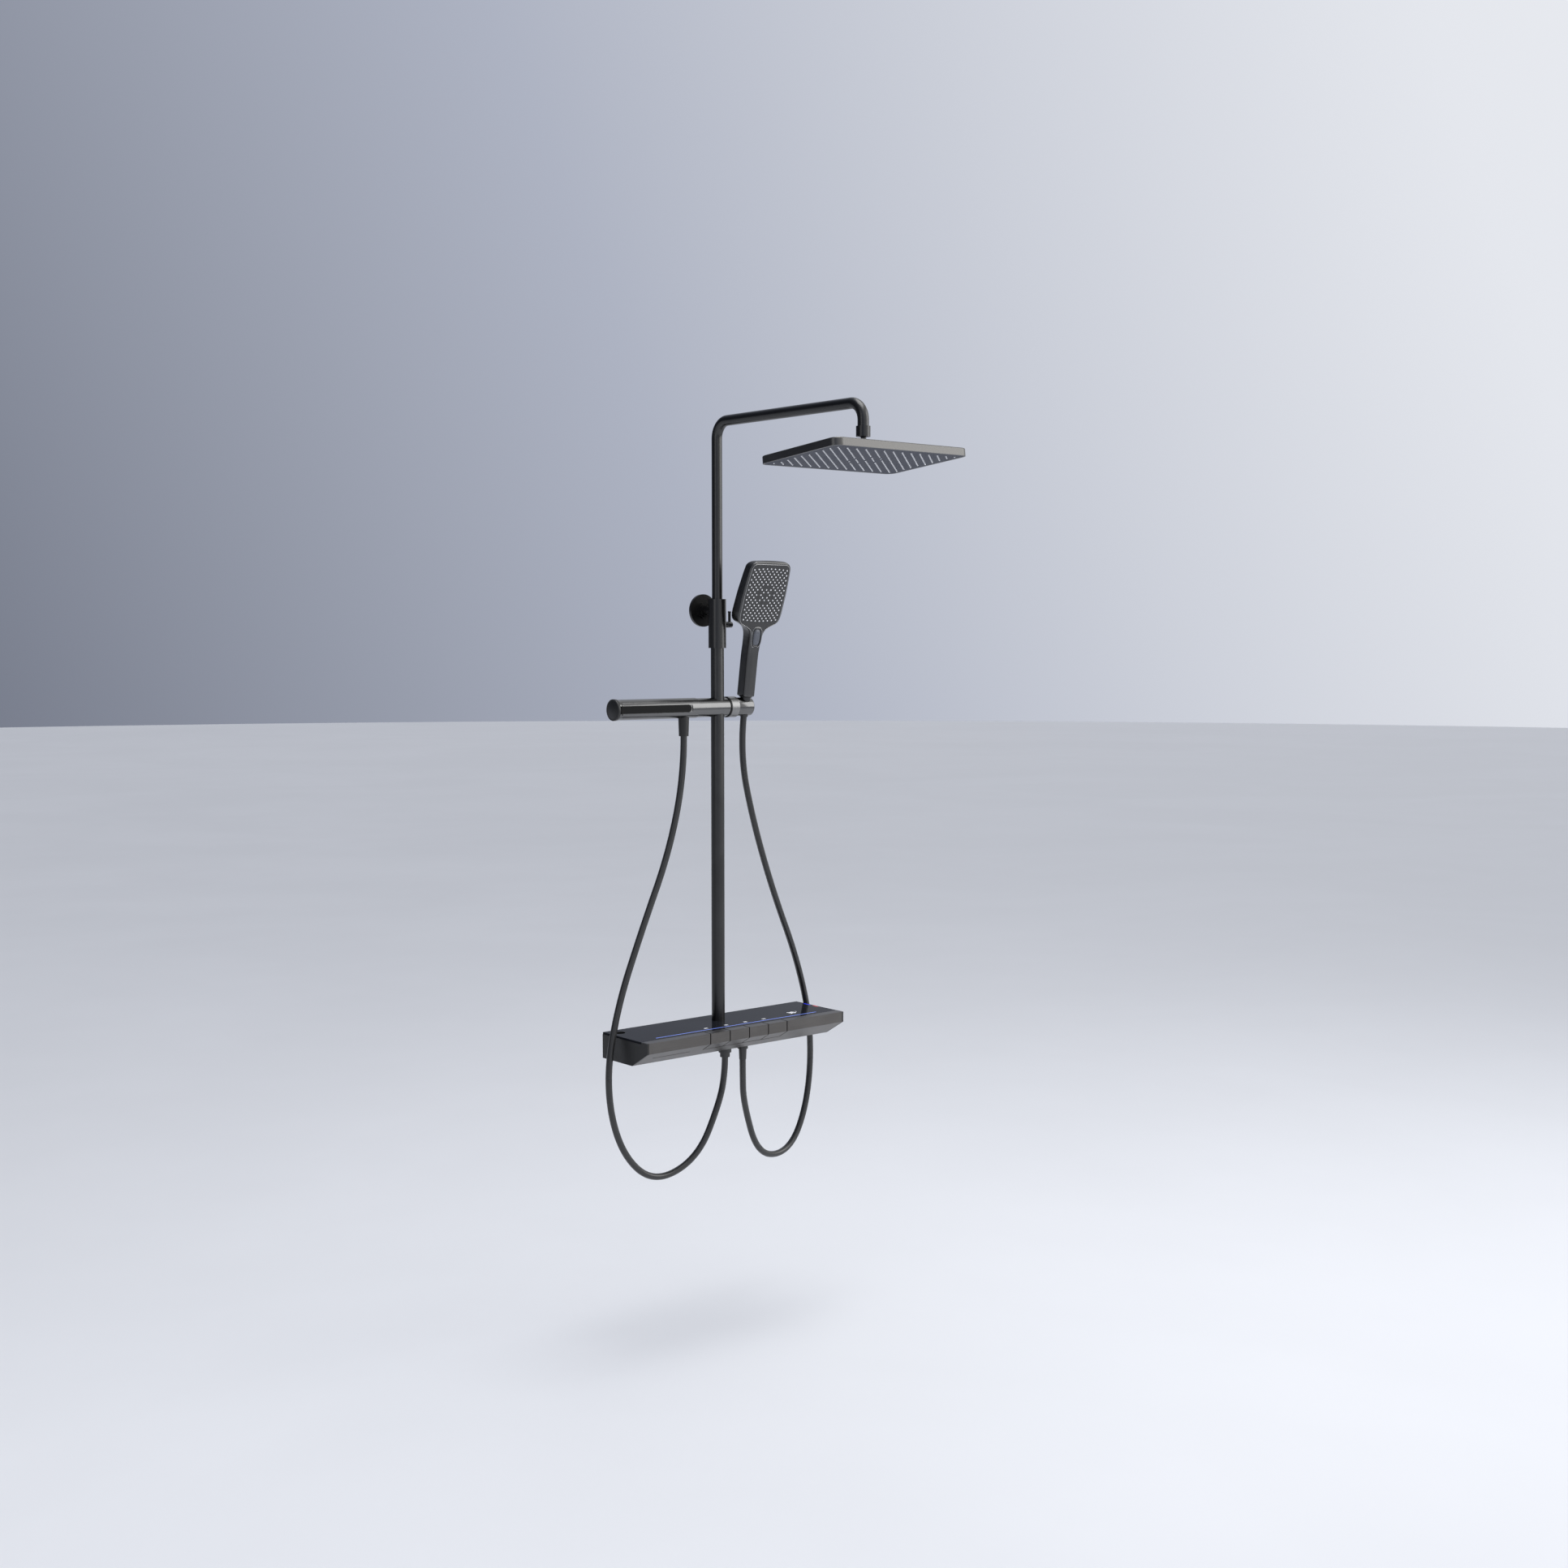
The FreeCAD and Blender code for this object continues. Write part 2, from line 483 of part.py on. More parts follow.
def lock_knob():
    """Black lock: a threaded stub with a round grip and an upright tommy bar."""
    shank = cylinder("lock_shank", "3", "8", "10.9", "riser_y", "lock_level", TO_X)
    grip = cylinder("lock_grip", "6.2", "18.4", "sleeve_radius + gap", "riser_y", "lock_level", TO_X)
    bar = cylinder("lock_bar", "2.8", "27", "31", "riser_y", "lock_level")
    finish(fuse("lock", shank, grip, bar), "lock_knob")


def arm():
    """Upper riser and overhead arm: one bent tube, swept along two quarter bends."""
    y, far = size("riser_y"), size("riser_y") - size("arm_reach")
    level, bend = size("arm_level"), size("bend_radius")
    tail, end = size("arm_tail"), size("arm_end")
    slack = bend * (1 - math.sqrt(0.5))
    near_top, far_top = Vector(0, y - bend, level), Vector(0, far + bend, level)
    near_low, far_low = Vector(0, y, level - bend), Vector(0, far, level - bend)
    path = Part.Wire([
        Part.LineSegment(Vector(0, y, tail), near_low).toShape(),
        Part.Arc(near_low, Vector(0, y - slack, level - slack), near_top).toShape(),
        Part.LineSegment(near_top, far_top).toShape(),
        Part.Arc(far_top, Vector(0, far + slack, level - slack), far_low).toShape(),
        Part.LineSegment(far_low, Vector(0, far, end)).toShape(),
    ])
    rings = [Part.Wire(Part.makeCircle(size(r), Vector(0, y, tail), Vector(0, 0, 1)))
             for r in ("arm_radius", "arm_bore")]
    outer, inner = [path.makePipeShell([ring], True, False) for ring in rings]
    obj = doc.addObject("Part::Feature", "arm")
    obj.Shape = outer.cut(inner)
    obj.Placement = Placement()
    finish(obj, "arm_tube")
    foot = cylinder("gland_foot", "riser_bore - bore_gap", "14", "0", "riser_y", "arm_tail - 14.1")
    spigot = cylinder("gland_spigot", "arm_bore - bore_gap", "12", "0", "riser_y", "arm_tail - 0.2")
    bore = cylinder("gland_bore", "6", "40", "0", "riser_y", "arm_tail - 20")
    finish(cut("gland_cut", fuse("gland_solid", foot, spigot), bore), "arm_gland")


# ---------------------------------------------------------------- rain head
HEAD_Y = "riser_y - arm_reach"


def head_place(obj, drop):
    """Hang an object built on Z = 0 under the ball, tilted with the head, drop below the ball's centre."""
    turn = Rotation(Vector(1, 0, 0), -size("head_tilt"))
    base = Vector(0, size("riser_y") - size("arm_reach"), size("ball_level")) + turn.multVec(Vector(0, 0, -drop))
    obj.Placement = Placement(base, turn)
    return obj


def rain_head():
    """Swivel nut, ball stem, head shell with its water chamber, and the face plate."""
    nut = cylinder("nut_body", "nut_radius", "nut_high - nut_low", "0", HEAD_Y, "nut_low")
    pocket = ball("nut_pocket", "seat_radius + bore_gap", "0", HEAD_Y, "ball_level")
    throat = cylinder("nut_throat", "7.9", "10", "0", HEAD_Y, "nut_low - 5")
    thread = cylinder("nut_thread", "arm_radius", "20", "0", HEAD_Y, "arm_end")
    finish(cut("nut_cut", nut, pocket, throat, thread), "swivel_nut")

    outside = ball("seat_outside", "seat_radius", "0", HEAD_Y, "ball_level")
    inside = ball("seat_inside", "ball_radius + bore_gap", "0", HEAD_Y, "ball_level")
    below = block("seat_below", "40", "40", "20", "-20", HEAD_Y + " - 20", "ball_level - seat_cut - 20")
    above = block("seat_above", "40", "40", "20", "-20", HEAD_Y + " - 20", "ball_level + seat_cut")
    finish(cut("seat_ring", outside, inside, below, above), "head_ball_seat")

    stem_long = size("head_drop") - size("head_thick")
    stem = cylinder("ball_stem", "5", str(stem_long - 6), "0", "0", "6")
    boss = cylinder("ball_boss", "16", "6", "0", "0", "0")
    sphere = ball("ball", "ball_radius", "0", "0", str(stem_long))
    bore = cylinder("ball_bore", "3", "60", "0", "0", "-5")
    stud = cut("ball_cut", fuse("ball_solid", boss, stem, sphere), bore)
    finish(head_place(stud, stem_long), "head_ball")

    outer = rounded_box("head_outer", "head_wide", "head_deep", "head_thick", "head_corner", "2.5")
    inner = rounded_box("head_inner", "head_wide - 2 * face_inset", "head_deep - 2 * face_inset",
                        "head_thick - skin", "head_corner - face_inset", None)
    port = cylinder("head_port", "3", "60", "0", "0", "-5")
    shell = cut("head_shell_cut", outer, inner, port)
    finish(head_place(shell, size("head_drop")), "head_shell")
    plate = rounded_box("face_plate", "head_wide - 2 * face_inset - 0.2", "head_deep - 2 * face_inset - 0.2",
                        "skin", "head_corner - face_inset", None)
    finish(head_place(plate, size("head_drop")), "head_faceplate")


# ---------------------------------------------------------------- holder bar, spray gun and barrel
def across(name, radius, long, left):
    """A cylinder along the holder bar's own axis."""
    return cylinder(name, radius, long, left, "riser_y", "bar_level", TO_X)


def holder():
    """Sliding holder: the bar's middle, its plastic bush on the riser, and the spigots at both ends."""
    middle = fuse("holder_solid", across("holder_bar", "bar_radius", "holder_right - holder_left", "holder_left"),
                  across("holder_gun_spigot", "8.8", "12.5", "holder_left - 12"),
                  across("holder_pivot", "8", "17.5", "holder_right - 0.5"))
    hole = cylinder("holder_hole", "riser_radius + 1", "60", "0", "riser_y", "bar_level - 30")
    finish(cut("holder_cut", middle, hole), "holder_body")
    bush = common("bush_cut", tube("bush", "riser_radius + 1", "riser_radius + bore_gap", "60", "0", "riser_y",
                                   "bar_level - 30"), across("bush_trim", "bar_radius - 0.2", "60", "-30"))
    finish(bush, "holder_bush")
    gasket = cut("gasket_cut", across("gasket", "ring_radius - 0.2", "2.1", "holder_right"),
                 across("gasket_hole", "8", "10", "holder_right - 3"))
    finish(gasket, "ring_gasket")


def barrel():
    """The brushed ring and the barrel that turns on the holder's pivot and carries the handset."""
    ring = cut("ring_cut", across("ring", "ring_radius", "barrel_left - ring_left", "ring_left"),
               across("ring_bore", "8 + bore_gap", "60", "0"))
    finish(ring, "pivot_ring")
    body = across("barrel_body", "barrel_radius", "barrel_right - barrel_left", "barrel_left")
    seat = hand_cylinder("barrel_seat", "washer_radius - 0.1", 12, 7.7)
    socket = hand_cone("barrel_socket", "8.5", "11.5", 50, -25)
    finish(cut("barrel_cut", fuse("barrel_solid", body, seat), socket), "swivel_barrel")


def spray_gun():
    """Spray gun: a hollow bar with a flared end, a trigger bay in its front, its nozzle cap and hose relief."""
    bar = across("gun_bar", "gun_radius", "holder_left - gap - gun_left", "gun_left")
    flare = cone("gun_flare", "gun_cap_radius", "gun_radius", "8", "gun_left", "riser_y", "bar_level", TO_X)
    bay = block("gun_bay", "163.5", "8", "15.4", "gun_left", "riser_y - gun_radius - 1", "bar_level - 7.7")
    bay_end = cylinder("gun_bay_end", "7.7", "8", "gun_left + 163.5", "riser_y - gun_radius + 7", "bar_level",
                       TO_FRONT)
    pin_hole = trigger_pin("gun_pin_hole", "1.5 + bore_gap", 21)
    flat = block("gun_flat", "170", "3", "30", "gun_left + 4", "riser_y - gun_radius - 1.6", "bar_level - 15")
    water = across("gun_water", "11", "170", "gun_left + 6")
    socket = across("gun_socket", "9", "20", "holder_left - 13")
    seat = cylinder("gun_relief_seat", "8", "15", "gun_hose_x", "riser_y", "bar_level - 25")
    finish(cut("gun_cut", fuse("gun_solid", bar, flare), bay, bay_end, flat, water, socket, seat, pin_hole),
           "gun_body")
    finish(across("gun_cap", "gun_cap_radius", "gun_cap_thick", "gun_left - gun_cap_thick"), "gun_nozzle_cap")
    relief = cone("relief", "9.6", "11.3", "bar_level - relief_low", "gun_hose_x", "riser_y", "relief_low")
    trimmed = cut("relief_cut", relief, across("relief_trim", "gun_radius", "60", "gun_hose_x - 30"))
    plug = cylinder("relief_plug", "8", "24", "gun_hose_x", "riser_y", "relief_low + 16")
    finish(fuse("relief_solid", trimmed, plug), "gun_strain_relief")


def trigger_pin(name, radius, long):
    """The upright pin on which the thumb lever turns."""
    return cylinder(name, radius, str(long), "gun_left + 5", "riser_y - gun_radius + 2.7",
                    f"bar_level - {long} / 2")


def gun_trigger():
    """Long thumb lever in the gun's front, hinged near the nozzle cap."""
    pad = block("trigger_pad", "160.8", "2.4", "14.4", "gun_left + 2.4", "riser_y - gun_radius + 1.5",
                "bar_level - 7.2")
    tip = cylinder("trigger_tip", "7.2", "2.4", "gun_left + 163.2", "riser_y - gun_radius + 3.9", "bar_level",
                   TO_FRONT)
    finish(fuse("trigger", pad, tip, trigger_pin("trigger_axle", "1.5", 20)), "gun_trigger")


# ---------------------------------------------------------------- handset
HAND_TURN = Rotation(Vector(1, 0, 0), size("hand_lean"))


def on_hand(right, out, up):
    """A point of the handset: right, out to the front, and up along the handle from the barrel's middle."""
    local = HAND_TURN.multVec(Vector(right, -out, up))
    return local + Vector(size("hand_x"), size("hand_y"), size("bar_level"))


def hand_cone(name, low, high, long, start):
    """A cone on the handle's axis from start, with its two radii as expressions."""
    base = on_hand(0, 0, start)
    return cone(name, low, high, str(long), str(base.x), str(base.y), str(base.z), HAND_TURN)


def hand_cylinder(name, radius, long, start):
    base = on_hand(0, 0, start)
    return cylinder(name, radius, str(long), str(base.x), str(base.y), str(base.z), HAND_TURN)


def rounded_loop(centre, right, up, wide, tall, corner):
    """A closed wire: a rectangle with round corners, centred on a point, in the plane of two directions."""
    def at(a, b):
        return centre + right * a + up * b
    w, t, k = wide / 2, tall / 2, corner * (1 - math.sqrt(0.5))
    edges = []
    for a, b in ((1, 1), (-1, 1), (-1, -1), (1, -1)):
        if a * b > 0:
            first, last = at(a * w, b * (t - corner)), at(a * (w - corner), b * t)
        else:
            first, last = at(a * (w - corner), b * t), at(a * w, b * (t - corner))
        edges.append(Part.Arc(first, at(a * (w - k), b * (t - k)), last))
    loop = []
    for i, arc in enumerate(edges):
        loop.append(arc.toShape())
        nearest = edges[(i + 1) % 4]
        loop.append(Part.LineSegment(arc.EndPoint, nearest.StartPoint).toShape())
    return Part.Wire(loop)


def face_frame():
    """Origin, right, up and outward directions of the handset's face."""
    turn = math.radians(size("head_turn"))
    origin = on_hand(0, size("face_start_out"), size("face_start_up"))
    up = HAND_TURN.multVec(Vector(0, -math.sin(turn), math.cos(turn)))
    out = HAND_TURN.multVec(Vector(0, -math.cos(turn), -math.sin(turn)))
    return origin, Vector(1, 0, 0), up, out


def handset():
    """Handset: a lofted handle and neck, a rounded head with its face plate, the button and the hose cone."""
    right = Vector(1, 0, 0)
    out = HAND_TURN.multVec(Vector(0, -1, 0))
    wide, deep = size("handle_wide"), size("handle_deep")
    sections = [(size("handle_start"), 0, wide, deep, 5), (118, 0, wide, deep, 5),
                (140, 2.2, wide + 4, deep, 5.5), (156, 4.6, wide + 20, deep, 7), (168, 6.4, wide + 52, deep, 8),
                (176, 7.6, wide + 66, deep, 8)]
    loops = [rounded_loop(on_hand(0, lean, up), right, out, w, d, corner) for up, lean, w, d, corner in sections]
    handle = Part.makeLoft(loops, True, True)
    origin, right, up, out = face_frame()
    thick, head_wide, head_tall = size("hand_head_thick"), size("hand_head_wide"), size("hand_head_tall")
    middle = origin + up * (head_tall / 2 - 4)
    outline = rounded_loop(middle - out * thick, right, up, head_wide, head_tall, 16)
    head = Part.Face(outline).extrude(out * thick)
    back = [e for e in head.Edges if all((v.Point - middle).dot(out) < 0.5 - thick for v in e.Vertexes)]
    head = head.makeFillet(7, back)
    recess_loop = rounded_loop(middle - out * size("hand_plate_thick"), right, up, head_wide - 8, head_tall - 8, 13)
    recess = Part.Face(recess_loop).extrude(out * 20)
    button_middle = origin - up * 28
    bay_loop = rounded_loop(button_middle - out * 9, right, up, 20, 36, 9.9)
    bay = Part.Face(bay_loop).extrude(out * 30)
    water = Part.makeCylinder(5, 110, on_hand(0, 0, size("handle_start") - 1), HAND_TURN.multVec(Vector(0, 0, 1)))
    shell = handle.fuse(head).cut(recess).cut(bay).cut(water).removeSplitter()
    obj = doc.addObject("Part::Feature", "handset_shell")
    obj.Shape = shell
    obj.Placement = Placement()
    finish(obj, "handset_body")

    plate_loop = rounded_loop(middle - out * size("hand_plate_thick"), right, up, head_wide - 8.2,
                              head_tall - 8.2, 12.9)
    plate = doc.addObject("Part::Feature", "handset_plate")
    plate.Shape = Part.Face(plate_loop).extrude(out * (size("hand_plate_thick") - 0.5))
    plate.Placement = Placement()
    finish(plate, "handset_face")

    button_loop = rounded_loop(button_middle - out * 5, right, up, 18.8, 34.8, 9.3)
    button = doc.addObject("Part::Feature", "handset_push")
    button.Shape = Part.Face(button_loop).extrude(out * 7)
    button.Placement = Placement()
    finish(button, "handset_button")

    finish(hand_cylinder("washer", "washer_radius", 2, size("handle_start") - 2), "handset_washer")
    finish(hand_cone("hose_cone", "8.35", "10.62", 40, -20), "handset_cone")


# ---------------------------------------------------------------- build, test and write
shelf_body()
glass_top()
end_cap(-1, "left_end_cap")
end_cap(1, "right_end_cap")
shelf_details()
for number, centre_x in enumerate(KEY_CENTRES, start=1):
    key(number, centre_x)
valve_block()
key_rod()
manifold()
inlet_unions()
wall_plate()
inside_the_shelf()
outlets()
hose("gun_hose_path", "hose_gun", GUN_HOSE)
hose("hand_hose_path", "hose_handset", HAND_HOSE)
riser()
lock_knob()
arm()
rain_head()
holder()
barrel()
spray_gun()
gun_trigger()
handset()

doc.recompute()
faults = [o.Name for o in doc.Objects if "Invalid" in o.State or "Error" in o.State]
for part in SUB_PARTS:
    if part.Shape.isNull() or not part.Shape.isValid() or not part.Shape.Solids:
        faults.append(part.Label)
if faults:
    raise RuntimeError(f"these objects failed: {faults}")
for part in SUB_PARTS:
    part.Shape.exportStep(f"parts/{part.Label}.step")
print(len(SUB_PARTS), "sub-parts written")
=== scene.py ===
# %% [markdown]
# # A rainfall shower column, dressed in Blender
# The column hangs on a wall: a glass shelf with piano keys, a riser, an overhead arm with a rain head,
# a sliding holder, a handset and a spray gun, each on its own hose. The engineered model gives every
# hard piece its place and size. This lesson adds what the engineering leaves out: hoses that bend,
# the moulded handset, hundreds of silicone nozzles, printed marks, and a finish for every surface.
# It starts by loading that model as a fixed frame, because all later pieces take their place from it.

# %% Load the frame
import json
import math

import bpy
import numpy as np
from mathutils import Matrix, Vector


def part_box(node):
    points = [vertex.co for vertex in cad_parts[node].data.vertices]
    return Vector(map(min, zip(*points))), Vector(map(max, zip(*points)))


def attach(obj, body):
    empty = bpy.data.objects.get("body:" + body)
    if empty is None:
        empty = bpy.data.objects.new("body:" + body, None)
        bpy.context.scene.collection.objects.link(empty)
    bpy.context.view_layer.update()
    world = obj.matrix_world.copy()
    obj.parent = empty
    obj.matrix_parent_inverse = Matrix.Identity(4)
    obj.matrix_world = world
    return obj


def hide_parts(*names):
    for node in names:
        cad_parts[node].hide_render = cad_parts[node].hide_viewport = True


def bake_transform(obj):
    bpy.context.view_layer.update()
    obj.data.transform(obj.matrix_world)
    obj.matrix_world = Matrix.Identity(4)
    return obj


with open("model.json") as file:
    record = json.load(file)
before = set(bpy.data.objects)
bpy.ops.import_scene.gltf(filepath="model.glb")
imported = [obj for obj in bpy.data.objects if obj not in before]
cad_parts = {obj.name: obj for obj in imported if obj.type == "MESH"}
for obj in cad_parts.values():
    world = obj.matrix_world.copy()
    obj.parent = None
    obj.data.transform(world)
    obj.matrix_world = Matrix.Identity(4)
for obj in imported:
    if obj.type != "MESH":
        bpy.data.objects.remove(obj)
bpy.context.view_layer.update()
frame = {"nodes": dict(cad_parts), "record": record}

# %% [markdown]
# ## The camera
# The column is tall and narrow and its arm reaches out of the wall, so it reads best from the front left,
# a little above the middle. A Blender camera looks along its own -Z, so its turn is built from a yaw about
# the upright and a pitch below the horizon, and the lens is given in millimetres on a 36 mm sensor.

# %% Camera
YAW, PITCH = math.radians(40.21), math.radians(-4.27)
camera_data = bpy.data.cameras.new("studio_camera")
camera_data.lens = 44.26
camera_data.sensor_width = 36.0
camera_data.clip_end = 60.0
camera = bpy.data.objects.new("studio_camera", camera_data)
camera.location = (-2.3866, -3.0790, 0.7908)
camera.rotation_euler = (math.pi / 2 + PITCH, 0.0, -YAW)
bpy.context.scene.collection.objects.link(camera)
bpy.context.scene.camera = camera
print("camera at", tuple(camera.location), "lens", camera_data.lens)

# %% [markdown]
# ## Surfaces from arrays
# Every new piece is a surface worked out with numpy. A grid of points, rows by columns, becomes a mesh when
# each cell is joined into a quad. A grid can close on itself across its columns, and its first and last rows
# can be capped. The same helper serves tubes, turned parts, lofts and domes, so it comes first.

# %% Grid to mesh
MM = 0.001


def mesh_piece(name, points, faces, material=None, smooth=True, crease=40.0):
    """A mesh object from an array of points and a list of faces, smooth except across edges over crease degrees."""
    mesh = bpy.data.meshes.new(name)
    mesh.from_pydata(np.asarray(points, float).tolist(), [], faces)
    mesh.update()
    piece = bpy.data.objects.new(name, mesh)
    bpy.context.scene.collection.objects.link(piece)
    if smooth:
        mesh.polygons.foreach_set("use_smooth", np.ones(len(mesh.polygons), bool))
        mesh.set_sharp_from_angle(angle=math.radians(crease))
    if material is not None:
        mesh.materials.append(material)
    return piece


def grid_faces(rows, columns, closed):
    """Quads of a grid: each joins a point to its right neighbour and to the two points in the next row."""
    across = columns if closed else columns - 1
    r, c = np.meshgrid(np.arange(rows - 1), np.arange(across), indexing="ij")
    here, right = r * columns + c, r * columns + (c + 1) % columns
    return np.stack([here, right, right + columns, here + columns], axis=-1).reshape(-1, 4)


def skin(name, grid, material=None, closed=True, caps=True, flip=False, crease=40.0):
    """A mesh from a grid of points shaped (rows, columns, 3); caps close its first and last row with one face."""
    grid = np.asarray(grid, float)
    rows, columns = grid.shape[:2]
    faces = grid_faces(rows, columns, closed).tolist()
    if caps and closed:
        faces.append(list(range(columns))[::-1])
        faces.append(list(range((rows - 1) * columns, rows * columns)))
    if flip:
        faces = [face[::-1] for face in faces]
    return mesh_piece(name, grid.reshape(-1, 3), faces, material, crease=crease)


def turned(name, profile, origin, axis, material=None, segments=64, crease=35.0, ripple=None):
    """A turned part: the profile's (distance along, radius) pairs carried round the axis through origin.
    A ripple(angle, along) is added to the radius where a grip is fluted."""
    profile = np.asarray(profile, float)
    axis = np.asarray(axis, float) / np.linalg.norm(axis)
    side = np.cross(axis, [0.0, 1.0, 0.0]) if abs(axis[1]) < 0.9 else np.array([1.0, 0.0, 0.0])
    side = side / np.linalg.norm(side)
    other = np.cross(axis, side)
    angle = np.linspace(0, 2 * np.pi, segments, endpoint=False)
    radius = profile[:, 1][:, None] + (0 if ripple is None else ripple(angle[None, :], profile[:, 0][:, None]))
    ring = np.cos(angle)[:, None] * side + np.sin(angle)[:, None] * other
    grid = np.asarray(origin, float) + profile[:, 0][:, None, None] * axis + radius[..., None] * ring[None]
    return skin(name, grid, material, crease=crease)


def tube_along(name, path, radius, material=None, segments=24, up=(0.0, 1.0, 0.0), caps=True, closed_path=False):
    """A round tube along a path. The ring at each point is spanned by two directions square to the path:
    the cross product of the path's direction with up, and the cross product of the direction with that."""
    path = np.asarray(path, float)
    if closed_path:
        along = np.roll(path, -1, axis=0) - np.roll(path, 1, axis=0)
    else:
        along = np.gradient(path, axis=0)
    along = along / np.linalg.norm(along, axis=1, keepdims=True)
    side = np.cross(along, np.asarray(up, float))
    side = side / np.linalg.norm(side, axis=1, keepdims=True)
    other = np.cross(along, side)
    angle = np.linspace(0, 2 * np.pi, segments, endpoint=False)
    ring = np.cos(angle)[None, :, None] * side[:, None] + np.sin(angle)[None, :, None] * other[:, None]
    grid = path[:, None] + np.asarray(radius, float).reshape(-1, 1, 1) * ring
    if closed_path:
        grid = np.concatenate([grid, grid[:1]], axis=0)
    return skin(name, grid, material, caps=caps and not closed_path)


# %% [markdown]
# ## Effects that several finishes share
# Real metal is never one flat value. Dark vapour-coated brass carries a very fine grain, faint smears from
# hands and water, and a little wear. Three shader groups make the grain and the smears once. Each gives a mask
# between 0 and 1, and each finish decides what the mask does to its colour, roughness and bump.

# %% Group helpers
def new_group(name, inputs, outputs):
    """An empty shader group with its sockets; inputs are (name, socket type, default) and outputs (name, type)."""
    group = bpy.data.node_groups.new(name, "ShaderNodeTree")
    for label, kind, default in inputs:
        socket = group.interface.new_socket(label, in_out="INPUT", socket_type=kind)
        if default is not None:
            socket.default_value = default
    for label, kind in outputs:
        group.interface.new_socket(label, in_out="OUTPUT", socket_type=kind)
    return group, group.nodes.new("NodeGroupInput"), group.nodes.new("NodeGroupOutput")


def add(tree, kind, **settings):
    """A node with its settings; a value given for an input socket goes in with its name's spaces as underscores."""
    node = tree.nodes.new(kind)
    for key, value in settings.items():
        if hasattr(node, key):
            setattr(node, key, value)
        else:
            node.inputs[key.replace("_", " ")].default_value = value
    return node


def wire(tree, source, target):
    tree.links.new(source, target)


# %% Grain group: streaks along one direction
def build_streaks():
    """Noise whose coordinates are stretched: fine across the brushing and long along it, squeezed to 0..1."""
    group, start, end = new_group(
        "brushed_streaks",
        [("Vector", "NodeSocketVector", None), ("Stretch", "NodeSocketVector", (40.0, 1600.0, 1600.0))],
        [("Streak", "NodeSocketFloat")])
    stretch = add(group, "ShaderNodeVectorMath", operation="MULTIPLY")
    noise = add(group, "ShaderNodeTexNoise", Scale=1.0, Detail=4.0, Roughness=0.6)
    levels = add(group, "ShaderNodeMapRange", From_Min=0.3, From_Max=0.7)
    wire(group, start.outputs["Vector"], stretch.inputs[0])
    wire(group, start.outputs["Stretch"], stretch.inputs[1])
    wire(group, stretch.outputs[0], noise.inputs["Vector"])
    wire(group, noise.outputs["Fac"], levels.inputs["Value"])
    wire(group, levels.outputs["Result"], end.inputs["Streak"])
    return group


# %% Smear group: broad soft patches
def build_smears():
    """Broad noise bent by a second noise, so that patches wander like dried water and finger smears."""
    group, start, end = new_group(
        "water_smears",
        [("Vector", "NodeSocketVector", None), ("Size", "NodeSocketFloat", 9.0)],
        [("Smear", "NodeSocketFloat")])
    noise = add(group, "ShaderNodeTexNoise", Detail=5.0, Roughness=0.55, Distortion=0.8)
    levels = add(group, "ShaderNodeMapRange", From_Min=0.35, From_Max=0.68)
    levels.interpolation_type = "SMOOTHSTEP"
    wire(group, start.outputs["Vector"], noise.inputs["Vector"])
    wire(group, start.outputs["Size"], noise.inputs["Scale"])
    wire(group, noise.outputs["Fac"], levels.inputs["Value"])
    wire(group, levels.outputs["Result"], end.inputs["Smear"])
    return group


# %% Speckle group: coating grain
def build_speckle():
    """Very fine isotropic noise: the orange-peel of a vapour coat, or the tooth of a moulded plastic."""
    group, start, end = new_group(
        "coating_speckle",
        [("Vector", "NodeSocketVector", None), ("Size", "NodeSocketFloat", 1400.0)],
        [("Speckle", "NodeSocketFloat")])
    noise = add(group, "ShaderNodeTexNoise", Detail=2.0, Roughness=0.5)
    wire(group, start.outputs["Vector"], noise.inputs["Vector"])
    wire(group, start.outputs["Size"], noise.inputs["Scale"])
    wire(group, noise.outputs["Fac"], end.inputs["Speckle"])
    return group


STREAKS, SMEARS, SPECKLE = build_streaks(), build_smears(), build_speckle()

# %% [markdown]
# ## The finishes
# One function builds them all: the mean of the smears and the grain mixes two close colours and moves the
# roughness between two values, and the grain alone bumps the normal. What differs is the numbers,
# and whether the grain is brushed along an axis or is an even speckle.

# %% Finish builder
BUMP_DEPTH = 0.00002
COAT_ROUGHNESS = 0.08
COLOUR_A, COLOUR_B = 6, 7  # a mix node has two inputs called A and B for each kind of data; these are the colours


